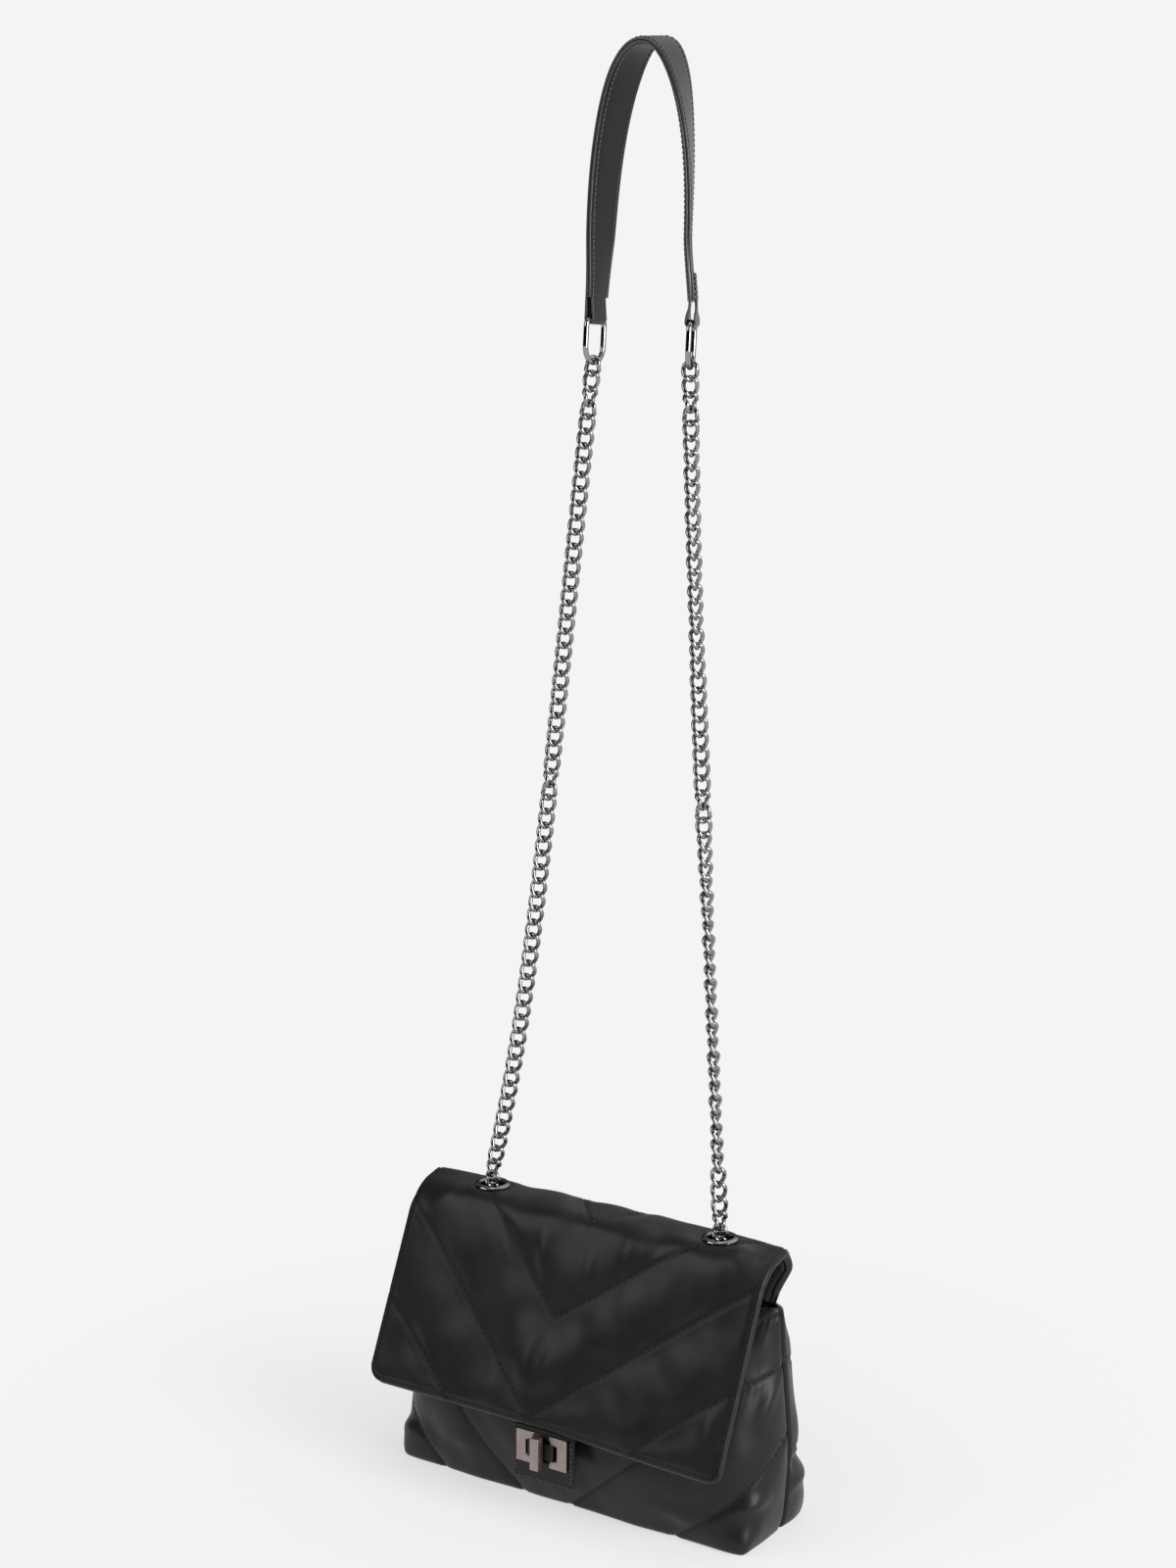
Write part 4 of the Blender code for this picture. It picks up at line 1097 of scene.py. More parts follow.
    def lining(self) -> Object:
        """The lining: a thin sewn bag inside the panels, whose inner wall has soft folds."""
        low, high, thick = self.lining_low, self.shape.height - self.lining_drop, self.lining_thickness
        rises = np.linspace(low, high, 46)
        outer = [self.shape.ring(rise, self.lining_inset) for rise in rises]
        inner = [self.shape.ring(max(rise, low + thick), self.lining_inset + thick) for rise in rises[::-1]]
        wall = np.stack(inner)
        middle = wall.mean(1, keepdims=True)
        inward = unit((middle - wall) * (1, 1, 0))
        folds = soft_noise(wall.shape[:2], 1.5 * MM, (26 * MM, 8 * MM), 41)
        fade = np.clip((high - wall[..., 2]) / 0.02, 0, 1) * np.clip((wall[..., 2] - low) / 0.02, 0, 1)
        wall = wall + inward * (0.0005 * np.maximum(folds, 0) * fade)[..., None]
        floor_low = [outer[0] * (share, share, 1) for share in (0.04, 0.5, 0.92)]
        floor_high = [wall[-1] * (share, share, 1) for share in (0.92, 0.5, 0.04)]
        return tubes("pouch_lining", np.stack(floor_low + outer + list(wall) + floor_high), LINING_TWILL)

    def build(self) -> None:
        """Builds the pouch's pieces and hands each to the bag's body."""
        for facing, quilting, replaced in (
            (Facing.FRONT, self.front_quilting, "front_panel"),
            (Facing.BACK, self.back_quilting, "back_panel"),
        ):
            quilt, thread = self.panel(facing, quilting)
            settle(quilt, "bag", "quilted_leather", replaced)
            settle(thread, "bag", "quilted_leather")
        settle(self.bottom_leather(), "bag", "quilted_leather", "bottom_panel")
        settle(self.lining(), "bag", "lining_cloth", "lining")


def settle(obj: Object, body: str | None, slot: str, *replaced: str) -> None:
    """Hands a piece to the body that carries it, and hides the nodes of the frame that it stands for.

    Args:
        obj: the piece.
        body: the body that carries it, or none for a piece that stays on its own.
        slot: the record's material slot; not used.
        replaced: the nodes that it stands for.
    """
    if body is not None:
        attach(obj, body)
    if replaced:
        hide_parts(*replaced)


# Flap


@dataclass(frozen=True)
class Flap:
    """The flap: a quilted skin from the seam on its back, over the ridge and down the front, and a lining.

    Back shares are points from the seam to the ridge: the seam's share of Y, what is added to it, and the
    share of the rise. Front line and end line are points of Y and Z, in the middle and at the ends. A roll
    is the reach and the depth of a rounding.
    """

    mouth: float = 0.1294
    half_width: float = 0.1174
    hang: float = -0.0030
    seam_reach: float = 0.003
    back_shares: tuple[Triple, ...] = ((1.0, 0.0, 0.0), (0.45, 0.009, 0.51), (0.25, 0.009, 0.79))
    front_line: tuple[Pair, ...] = (
        (0.0078, RIDGE), (-0.0171, RIDGE), (-0.0221, 0.1608), (-0.0263, 0.154), (-0.06823, 0.05578),
    )
    end_line: tuple[Pair, ...] = (
        (0.0030, 0.1294), (0.0115, 0.1470), (0.0095, 0.1562), (0.0030, 0.1640),
        (-0.0125, 0.1605), (-0.0188, 0.1565), (-0.0262, 0.1490), (-0.06823, 0.05578),
    )
    end_start: float = 0.088
    inside: Pair = (-0.006, 0.110)
    droop: float = 0.0036
    droop_from: float = -0.020
    corner: float = 0.0105
    sharp_corner: float = 0.0070
    taper: float = 0.0060
    taper_reach: float = 0.024
    depth: float = 0.0063
    leather: float = 0.0046
    outer_roll: Pair = (0.0026, 0.0024)
    inner_roll: Pair = (0.0022, 0.0026)
    seam_band: float = 0.004
    behind: float = -0.02
    hem_inset: float = 0.0024
    hem_depth: float = 0.0009
    hem_width: float = 0.0008
    hem_shade: float = 0.0007
    hem_pitch: float = 0.0036
    hem_start: float = -0.030
    hem_sink: float = 0.00025
    sewn_margin: float = 0.005
    sewn_reach: float = 0.1085
    lining_top: float = 0.0051
    lining_margin: float = 0.0030
    lining_ramp: Pair = (0.0004, 0.0012)
    cell: float = 0.00135
    hole: float = 0.0080
    hole_cut: float = 0.0060
    eyelet_calm: float = 0.0115
    eyelet_seat: float = 0.0105
    eyelet_free: float = 0.0125
    bend_start: float = -0.0150
    bend_end: float = -0.0240
    quilting: Quilting = Quilting(
        chevrons=(
            Chevron(0.0, -0.064, 1.3, 1.3),
            Chevron(0.001, -0.009, 1.30, 1.45),
            Chevron(-0.0062, 0.0472, 1.0, 0.775),
            Chevron(-0.0088, 0.1037, 0.98, 0.82, 0.099, 1.0),
            Chevron(-0.0020, 0.1605, 0.90, 0.887),
        ),
        wrinkles=(
            Wrinkle((-0.026, -0.004), (-0.018, 0.034), 0.0046, 0.0013),
            Wrinkle((0.008, -0.004), (0.010, 0.034), 0.0044, 0.0012),
            Wrinkle((0.030, -0.012), (0.032, 0.026), 0.0044, 0.0010),
            Wrinkle((-0.050, -0.010), (-0.042, 0.026), 0.0060, 0.0012),
            Wrinkle((-0.014, 0.052), (-0.022, 0.098), 0.0050, 0.0012),
            Wrinkle((-0.002, 0.056), (-0.006, 0.096), 0.0044, 0.0009),
            Wrinkle((0.086, -0.030), (0.106, 0.006), 0.0060, 0.0018),
            Wrinkle((0.100, 0.062), (0.106, 0.104), 0.0060, 0.0016),
        ),
        groove=0.0006,
        groove_width=0.0010,
        hold=0.0070,
        seed=3,
        fullness=((-0.115, 0.35), (-0.070, 0.45), (-0.030, 0.85), (0.030, 1.0), (0.115, 0.85)),
    )

    def base(self, shape: PouchShape) -> tuple[Array, Array, Array, Array]:
        """The flap's plain outer surface.

        Args:
            shape: the pouch's form, whose back gives the seam.

        Returns:
            The grid, each row's place down the front from the bend below the fold, each row's two half
            widths, and each point's distance from the flap's free edges. A row's points run across in even
            shares of its width, and the rows follow straight pieces of a line that are then blurred over
            3 mm. Towards the ends the line changes smoothly to the pinched one.
        """
        columns = 2 * round(self.half_width / self.cell) + 1
        shares = np.linspace(-1, 1, columns)
        side, _, back, _, square = shape.sections(np.array([shape.height]))[0]
        reach = np.minimum(np.abs(shares * self.half_width + self.hang) / side, 1)
        seam = np.maximum(back * (1 - reach**square) ** (1 / square), self.seam_reach)
        rise = RIDGE - self.mouth
        corners = [
            np.stack([part * seam + off, np.full(columns, self.mouth + up * rise)], -1)
            for part, off, up in self.back_shares
        ]
        corners = np.stack(corners + [np.tile(point, (columns, 1)) for point in self.front_line])
        x = shares * self.half_width
        ends = smoothstep((np.abs(x) - self.end_start) / (self.half_width - self.end_start))
        corners += (np.array(self.end_line)[:, None] - corners) * ends[None, :, None]
        fall = unit(np.subtract(self.front_line[-1], self.front_line[-2]))
        corners[-1] += fall * (self.drooped(x + self.hang))[:, None]
        lengths = np.linalg.norm(np.diff(corners, axis=0), axis=-1)[:, columns // 2]
        counts = np.maximum(np.round(lengths / self.cell).astype(int), 2)
        rows = [
            start + (end - start) * np.arange(count)[:, None, None] / count
            for start, end, count in zip(corners, corners[1:], counts)
        ]
        lines = blur(np.concatenate(rows + [corners[-1:]]), 2.2)
        run = run_of(lines[:, columns // 2])
        down = run - run[int(counts[:-1].sum())]
        left = run[-1] - run
        half = np.empty((2, len(left)))
        for number, radius in enumerate((self.corner, self.sharp_corner)):
            within = np.clip(radius - left, 0, radius)
            half[number] = self.half_width - radius + np.sqrt(np.maximum(radius**2 - within**2, 0))
        half -= self.taper * smoothstep(1 - run / self.taper_reach)
        halves = np.where(shares[None, :] < 0, half[0][:, None], half[1][:, None])
        grid = np.concatenate([(shares[None, :] * halves + self.hang)[..., None], lines], -1)
        side_edge = (1 - np.abs(shares))[None, :] * halves
        radii = np.where(shares < 0, self.corner, self.sharp_corner)[None, :]
        corner_x = np.maximum(np.abs(shares[None, :] * halves) - (self.half_width - radii), 0)
        corner_z = np.maximum(radii - left[:, None], 0)
        corner_edge = np.where((corner_x > 0) & (corner_z > 0), radii - np.hypot(corner_x, corner_z), 1.0)
        edge = np.minimum(np.minimum(side_edge, left[:, None]), corner_edge)
        return grid, down, half, np.maximum(edge, 0)

    def drooped(self, x: Array) -> Array:
        """How much lower the free edge hangs at a place across: a smooth rise to the right."""
        return self.droop * smoothstep((x - self.droop_from) / (self.half_width - self.droop_from))

    def stretch(self, x: Array, down: Array, last: float) -> Array:
        """By how much the front is longer at a place across than in its middle; one above the bend."""
        return np.where(down > 0, 1 + self.drooped(x) / last, 1.0)

    def laid(self, shape: PouchShape) -> tuple[Array, Array, Array, Array, Array, Array]:
        """The plain surface, opened round the eyelets: r becomes the fourth root of r^4 + hole^4.

        Args:
            shape: the pouch's form.

        Returns:
            The grid, its normals, each point's old distance from the nearer eyelet on top of the flap, and
            the places down, half widths and edge distances that base() gives.
        """
        grid, down, half, edge = self.base(shape)
        outward = grid - (0, *self.inside)
        outward[..., 0] = 0
        normals = grid_normals(grid, outward)
        opened, nearest = grid.copy(), np.full(grid.shape[:2], 1.0)
        on_top = grid[..., 2] > RIDGE - 0.02
        for side in Side:
            middle = (side.value * EYELET[0], EYELET[1])
            off = grid[..., :2] - middle
            radius = np.maximum(np.hypot(off[..., 0], off[..., 1]), 1e-6)
            grown = (radius**4 + self.hole**4) ** 0.25
            close = on_top & (radius < 0.03)
            scale = np.where(close, grown / radius, 1)[..., None]
            opened[..., :2] = np.where(close[..., None], middle + off * scale, opened[..., :2])
            nearest = np.minimum(nearest, np.where(on_top, radius, 1.0))
        return opened, normals, nearest, down, half, edge

    def uncut(self, from_eyelet: Array) -> Array:
        """Which cells of a grid lie outside the eyelets' holes."""
        return (from_eyelet[1:, 1:] + from_eyelet[:-1, :-1]) / 2 > self.hole_cut

    def skin(self, shape: PouchShape) -> tuple[Object, Object]:
        """The quilted skin with its bound edge, and its stitches.

        Args:
            shape: the pouch's form.

        Returns:
            The skin and the stitching. The outer face is the base plus the quilt's height along its
            normals. At the free edges it rolls through the flap's whole depth, and inside them it leaves
            room for the lining.
        """
        grid, normals, from_eyelet, down, half, edge = self.laid(shape)
        across = grid[..., 0]
        place = down[:, None] * self.stretch(across, down[:, None], float(down[-1]))
        seam_edge = (down - down[0])[:, None] + 0 * across
        held = np.minimum(np.minimum(edge, seam_edge), np.maximum(from_eyelet - self.eyelet_calm, 0))
        lifts, seam = self.quilting.heights(grid, normals, across, place, held)
        line = np.abs(edge - self.hem_inset)
        hem = self.hem_depth * np.exp(-((line / self.hem_width) ** 2))
        lifts = lifts - rounded(edge, *self.outer_roll) - hem
        lifts = np.where(from_eyelet < self.eyelet_seat, np.minimum(lifts, -0.0001), lifts)
        outer = grid + normals * lifts[..., None]
        before, ramp_width = self.lining_ramp
        middle = smoothstep((edge - self.lining_margin + before) / ramp_width)
        room = self.leather + (self.depth - self.leather) * (1 - middle)
        room = np.where(seam_edge < self.seam_band, self.leather, room)
        room = room - rounded(edge, *self.inner_roll)
        inner = grid - normals * room[..., None]
        for face in (outer, inner):
            face[..., 2] = np.where(place < self.behind, np.maximum(face[..., 2], self.mouth), face[..., 2])
        seam = np.maximum(seam, 0.8 * np.exp(-((line / self.hem_shade) ** 2)))
        skin = shell("flap_quilt", outer, inner, QUILT_CALF, self.uncut(from_eyelet), seam)
        return skin, self.thread(outer, normals, down, half)

    def thread(self, outer: Array, normals: Array, down: Array, half: Array) -> Object:
        """The quilting's stitches and the row along the bound edge.

        Args:
            outer: the skin's outer face.
            normals: its normals.
            down: each row's place down the front.
            half: each row's two half widths.

        Returns:
            The stitching.
        """
        last = float(down[-1])
        lowest = last + self.droop - self.sewn_margin
        at, fall, ways = self.quilting.stitches(float(down[0]) + 0.004, lowest, self.sewn_reach)
        fits = fall / self.stretch(at, fall, last) < last - self.sewn_margin
        at, fall, ways = at[fits], fall[fits], ways[fits]
        quilted = len(at)
        hem_down = np.arange(self.hem_start, last - self.corner, self.hem_pitch)
        for side in (-1, 1):
            x = np.full(hem_down.shape, side * (self.half_width - self.hem_inset) + self.hang)
            at = np.append(at, x)
            fall = np.append(fall, hem_down * self.stretch(x, hem_down, last))
            ways = np.concatenate([ways, np.tile([0.0, 1.0], (len(hem_down), 1))])
        straight = self.half_width - self.corner
        x = np.arange(-straight, straight, self.hem_pitch) + self.hang
        at = np.append(at, x)
        fall = np.append(fall, (last - self.hem_inset) * self.stretch(x, np.ones_like(x), last))
        ways = np.concatenate([ways, np.tile([1.0, 0.0], (len(x), 1))])

        def placed(x: Array, z: Array) -> tuple[Array, Array]:
            """The fractional row and column of places across and down."""
            plain = z / self.stretch(x, z, last)
            left, right = (np.interp(plain, down, widths) for widths in half)
            row = np.interp(plain, down, np.arange(len(down)))
            widths = np.where(x < self.hang, left, right)
            return row, ((x - self.hang) / widths + 1) / 2 * (outer.shape[1] - 1)

        row, column = placed(at, fall)
        ahead = placed(at + ways[:, 0] * AHEAD, fall + ways[:, 1] * AHEAD)
        middles, outs = sampled(outer, row, column), sampled(normals, row, column)
        runs = sampled(outer, *ahead) - middles
        off = np.hypot(np.abs(middles[:, 0]) - EYELET[0], middles[:, 1] - EYELET[1])
        middles = middles - outs * np.where(np.arange(len(middles)) < quilted, 0.0, self.hem_sink)[:, None]
        clear = (off > self.eyelet_free) | (middles[:, 2] < RIDGE - 0.015)
        return Stitching().sew("flap_stitching", [(middles[clear], runs[clear], outs[clear])])

    def lining(self, shape: PouchShape) -> Object:
        """The flap's lining: a twill sheet under the skin, inside its bound edge, on every other cell.

        Args:
            shape: the pouch's form.

        Returns:
            The lining: both its faces lie at their depths along the skin's normals.
        """
        grid, normals, from_eyelet, down, half, _ = self.laid(shape)
        narrower = 1 - self.lining_margin / half[0][:, None]
        grid[..., 0] = self.hang + (grid[..., 0] - self.hang) * narrower
        last = int(np.searchsorted(down, down[-1] - self.lining_margin))
        grid, normals, from_eyelet = (part[:last:2, ::2] for part in (grid, normals, from_eyelet))
        folds = soft_noise(grid.shape[:2], 2.7 * MM, (22 * MM, 9 * MM), 47)
        thick = self.depth - self.lining_top + 0.00015 * folds
        upper = grid - normals * self.lining_top
        lower = grid - normals * (self.lining_top + thick)[..., None]
        for face in (upper, lower):
            face[..., 2] = np.where(face[..., 1] > 0, np.maximum(face[..., 2], self.mouth), face[..., 2])
        return shell("flap_lining", upper, lower, LINING_TWILL, self.uncut(from_eyelet))

    def build(self, shape: PouchShape) -> None:
        """Builds the flap's pieces and bakes each one's transform into its mesh.

        Args:
            shape: the pouch's form.
        """
        skin, thread = self.skin(shape)
        cloth = self.lining(shape)
        settle(skin, None, "quilted_leather", "flap_top", "flap_front", "flap_binding")
        settle(thread, None, "quilted_leather")
        settle(cloth, None, "lining_cloth", "flap_lining_top", "flap_lining_front")
        for obj in (skin, thread, cloth):
            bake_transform(obj)


# Metal


def wire_loop(path: Array, wire: float, sides: int = 10, flat: float = 1.0) -> Array:
    """Rings round a closed path, for tubes().

    Args:
        path: tubes by stations by 3.
        wire: the wire's diameter.
        sides: points in a section.
        flat: how high the section is, as a share of its width.

    Returns:
        The rings: each section lies across the path, with one axis away from the loop's middle.
    """
    ahead = unit(np.roll(path, -1, 1) - np.roll(path, 1, 1))
    away = path - path.mean(1, keepdims=True)
    away = unit(away - ahead * (away * ahead).sum(-1, keepdims=True))
    over = np.cross(ahead, away)
    turn = 2 * math.pi * np.arange(sides) / sides
    across = away[:, :, None] * np.cos(turn)[:, None] + over[:, :, None] * (flat * np.sin(turn))[:, None]
    return path[:, :, None] + across * (wire / 2)


def rounded_loop(width: float, length: float, low: float, high: float, steps: int = 9) -> Array:
    """A closed outline about its middle, from four quarter circles.

    Args:
        width: its width.
        length: its length.
        low: the radius of its lower corners.
        high: the radius of its upper corners.
        steps: points in a corner.

    Returns:
        Rows of across and up, at even steps of the outline's length.
    """
    half, rise = width / 2, length / 2
    corners = (
        (half - high, rise - high, high, 0.0),
        (high - half, rise - high, high, math.pi / 2),
        (low - half, low - rise, low, math.pi),
        (half - low, low - rise, low, 1.5 * math.pi),
    )
    quarter = np.linspace(0, math.pi / 2, steps)
    arcs = [
        np.stack([across + radius * np.cos(quarter + turn), up + radius * np.sin(quarter + turn)], -1)
        for across, up, radius, turn in corners
    ]
    line = np.concatenate(arcs + [arcs[0][:1]])
    run = run_of(line)
    return read(line, run, np.linspace(0, run[-1], 4 * steps + 9)[:-1])


@dataclass(frozen=True)
class Eyelets:
    """The two eyelets on the ridge: a flange rolled over a barrel, and a washer under the lining."""

    turns: int = 56
    profile_mm: tuple[Pair, ...] = (
        (6.60, 0.75), (6.85, 1.30), (7.40, 1.62), (8.20, 1.70), (9.10, 1.50), (9.85, 1.05), (10.25, 0.45),
        (10.10, 0.30), (9.20, 0.30), (7.70, 0.30), (7.70, -2.0), (7.70, -5.4), (7.70, -8.1), (7.25, -8.4),
        (6.70, -8.1), (6.60, -6.0), (6.60, -2.5),
    )

    def ring(self, side: Side) -> Object:
        """One eyelet: its radii times cosine and sine of the turn about an upright line, at its heights."""
        profile = np.array(self.profile_mm) * MM
        turn = 2 * math.pi * np.arange(self.turns) / self.turns
        flat = profile[:, :1] * np.stack([np.cos(turn), np.sin(turn)], -1)[:, None]
        rings = np.concatenate([flat, np.broadcast_to(profile[:, 1:], flat.shape[:2] + (1,))], -1)
        rings = rings + np.array((side.value * EYELET[0], EYELET[1], RIDGE))
        return tubes(f"eyelet_{side.word}_ring", rings, POLISHED_GUNMETAL, closed=True, sharp=50)

    def build(self) -> None:
        """Builds both eyelets, and dresses the washers."""
        for side in Side:
            settle(self.ring(side), "bag", "gunmetal", f"eyelet_{side.word}")
            dress(f"eyelet_washer_{side.word}", POLISHED_GUNMETAL)


def dress(name: str, finish: Finish) -> None:
    """Gives a node of the frame a finish in place of its plain material.

    Args:
        name: the node.
        finish: the finish.
    """
    obj = bpy.data.objects[name]
    for place in obj.material_slots:
        place.material = material_of(finish)
    if not obj.material_slots:
        obj.data.materials.append(material_of(finish))


@dataclass(frozen=True)
class Strands:
    """The curb chain: two strands of twisted links, from rings inside the bag to the shoulder pad's rings.

    Links are spaced as square wire of the same area, and drawn a little thicker. Spins give a height, and
    both strands' turns there in degrees. A side ring is a width, a length and the radius of its corners, and
    a tab's strip a width, a thickness and a crown.
    """

    wire: float = 0.0022
    section: float = wire * math.sqrt(math.pi) / 2
    half_width: float = 0.0037
    shown_wire: float = 0.0024
    pitch: float = 0.0080
    bite: float = 0.0004
    gap: float = 0.0005
    roundness: float = 0.84
    stations: int = 20
    sides: int = 8
    pivot: float = 0.171
    fold: float = 0.400
    pad_fold: float = 0.611
    pad_pivot: float = 0.6347
    pad_y: float = 0.0275
    pad_x: Pair = (-0.0328, 0.0283)
    bows: Pair = (0.0073, -0.0020)
    skew: float = 1.2
    tail_drop: float = 0.011
    ring_turn: float = math.radians(22)
    spins: tuple[Triple, ...] = (
        (0.187, 0, 0), (0.196, -8, 20), (0.208, -14, 56), (0.330, -10, 58), (0.375, -4, 36), (0.392, 0, 0),
        (0.408, 0, 0), (0.425, -6, 8), (0.455, -8, 10), (0.490, -8, 34), (0.560, -10, 26), (0.595, -8, 20),
        (0.607, 0, 0),
    )
    stretch: float = 0.00022
    sway: float = 9.0
    side_ring_wire: float = 0.0026
    side_ring: Triple = (0.0090, 0.0085, 0.0021)
    tab_loop: Pair = (0.0927, 0.134)
    tab_foot: Pair = (0.1029, 0.108)
    tab_strip: Triple = (0.0048, 0.0011, 0.0003)
    tab_reach: float = 0.0010
    tab_leg: float = 0.00062

    def strand(self, side: Side, heights: Array) -> Array:
        """The strand's line: straight from eyelet to pad, plus a skewed half sine of bow.

        Args:
            side: which strand.
            heights: the heights along it.

        Returns:
            Its points.
        """
        share = np.clip((heights - self.pivot) / (self.pad_pivot - self.pivot), 0, 1)
        near = share if side is Side.LEFT else 1 - share
        bow = self.bows[side.number] * np.sin(math.pi * near * (1 + self.skew) / (1 + self.skew * near))
        start = side.value * EYELET[0]
        x = start + share * (self.pad_x[side.number] - start) + bow
        y = EYELET[1] + share * (self.pad_y - EYELET[1])
        return np.stack([x, y, heights], -1)

    def links(
        self, path: Array, hooked: float, end_turn: float = 0.0, side: Side | None = None
    ) -> tuple[Array, Array, Array, Array]:
        """Places links along a path: the first hooks below its start, and the last ends at its end.

        Args:
            path: the path's points.
            hooked: how far below the start the first link's wire lies.
            end_turn: how the last link's upper half is turned.
            side: the strand whose spin the links follow. A tail has none, and its first link isn't twisted.

        Returns:
            Centres, axes, half lengths, and the turns of each link's bottom, middle and top.
        """
        run = run_of(path)
        bite = self.section - self.bite
        length = run[-1] + hooked - bite
        count = round(length / self.pitch)
        pitch = length / count
        half = (pitch + bite) / 2
        first = unit(path[1] - path[0])

        def at(places: Array) -> Array:
            """The path's points at lengths along it, carried on straight before its start."""
            return read(path, run, places) + first * np.minimum(places, 0)[:, None]

        middles = half + np.arange(count) * pitch - hooked
        low, high = at(middles - half), at(middles + half)
        turns = np.tile([math.pi / 2, math.pi / 4, 0.0], (count, 1))
        turns[0] = (0, 0, 0) if side is None else (math.pi / 2, math.pi / 2, 0)
        turns[-1] = (math.pi / 2, end_turn, end_turn)
        if side is not None:
            heights, *spins = np.transpose(self.spins)
            spin = np.radians(np.interp((low + high)[:, 2] / 2, heights, spins[side.number]))
            swing = np.sin(np.arange(count) * 2.3 + 5 * side.value)
            spin += np.radians(self.sway) * swing * np.minimum(np.abs(spin) * 4, 1)
            spin[[0, -1]] = 0
            turns += spin[:, None]
        halves = np.full(count, half)
        halves[1:-1] += self.stretch
        return (low + high) / 2, unit(high - low), halves, turns

    def chain(self, name: str, links: tuple[Array, Array, Array, Array]) -> Object:
        """Makes one piece of links.

        Args:
            name: the piece's name.
            links: what links() gives.

        Returns:
            The piece. A link's line has |cos|^q across and |sin|^q along, and twists about its own length.
        """
        centres, axes, halves, turns = links
        first = unit(np.array([1.0, 0, 0]) - axes * axes[:, :1])
        second = np.cross(axes, first)
        turn = 2 * math.pi * np.arange(self.stations) / self.stations
        across = np.sign(np.cos(turn)) * np.abs(np.cos(turn)) ** self.roundness
        along = np.sign(np.sin(turn)) * np.abs(np.sin(turn)) ** self.roundness
        along[np.abs(np.sin(turn)) < 1e-6] = 0
        angle = np.stack([np.interp(along, (-1, 0, 1), row) for row in turns])
        outward = first[:, None] * np.cos(angle)[..., None] + second[:, None] * np.sin(angle)[..., None]
        path = centres[:, None] + axes[:, None] * (along[None] * halves[:, None])[..., None]
        path = path + outward * (across * self.half_width)[None, :, None]
        return tubes(name, wire_loop(path, self.shown_wire, self.sides), POLISHED_GUNMETAL, closed=True)

    def build(self) -> None:
        """Builds the strands, their tails, the side rings and the side tabs."""
        hooked = self.section + self.gap
        for side in Side:
            word = side.word
            turn = self.ring_turn if side is Side.RIGHT else 0.0
            for label, body, low, high, end in (
                ("lower", "strap_lower", self.pivot, self.fold, 0.0),
                ("upper", "strap_upper", self.fold, self.pad_fold, 0.0),
                ("end", "pad", self.pad_fold, self.pad_pivot, turn),
            ):
                path = self.strand(side, np.linspace(low, high, 80))
                made = self.chain(f"curb_{label}_{word}", self.links(path, hooked, end, side=side))
                settle(made, body, "gunmetal", f"chain_{label}_{word}")
            self.inside(side)

    def inside(self, side: Side) -> None:
        """One side's chain tail, ring and tab inside the mouth.

        Args:
            side: which side.
        """
        word = side.word
        loop = np.array([side.value * self.tab_loop[0], 0.0, self.tab_loop[1]])
        foot = np.array([side.value * self.tab_foot[0], 0.0, self.tab_foot[1]])
        below = np.array([side.value * EYELET[0], EYELET[1], RIDGE - self.tail_drop])
        pivot = np.array([side.value * EYELET[0], EYELET[1], self.pivot])
        toward = unit(below - loop)
        width, length, corner = self.side_ring
        flat = rounded_loop(width, length, corner, corner, 6)
        centre = loop + toward * length / 2
        path = centre + flat[:, :1] * np.array([0, 1.0, 0]) + flat[:, 1:] * toward
        wire = wire_loop(path[None], self.side_ring_wire)
        ring = tubes(f"tab_ring_{word}", wire, POLISHED_GUNMETAL, closed=True)
        settle(ring, "bag", "gunmetal", f"side_ring_{word}")
        inside = (self.side_ring_wire + self.section) / 2 + self.gap
        tail = self.links(np.stack([loop + toward * length, below, pivot]), inside)
        settle(self.chain(f"curb_tail_{word}", tail), "bag", "gunmetal", f"chain_tail_{word}")
        settle(self.tab(side, loop, foot), "bag", "strap_leather", f"side_tab_{word}")

    def tab(self, side: Side, loop: Array, foot: Array) -> Object:
        """The leather tab that holds a ring: a strip folded round it and sewn to the lining.

        Args:
            side: which side.
            loop: the middle of its loop.
            foot: its lower end.

        Returns:
            The tab: a strip's two faces along a path round the ring, with rounded edges.
        """
        down = unit(foot - loop)
        over = np.cross((0.0, 1.0, 0.0), down)
        reach = self.side_ring_wire / 2 + self.tab_reach
        turn = np.linspace(0.5, 2 * math.pi - 0.5, 22)
        arc = loop + over * (reach * np.sin(turn))[:, None] + down * (reach * np.cos(turn))[:, None]
        leg = over * self.tab_leg
        halfway = foot * 0.5 + loop * 0.5
        path = np.concatenate([[foot + leg, halfway + leg], arc, [halfway - leg, foot - leg]])
        runs = unit(np.gradient(path, axis=0))
        across = np.tile((0.0, 1.0, 0.0), (len(path), 1))
        width, thickness, crown = self.tab_strip
        widths = np.full(len(path), width)
        rings = strap_rings(path, across, np.cross(across, runs), widths, thickness, crown)
        return strap(f"ring_tab_{side.word}", rings, painted=False)


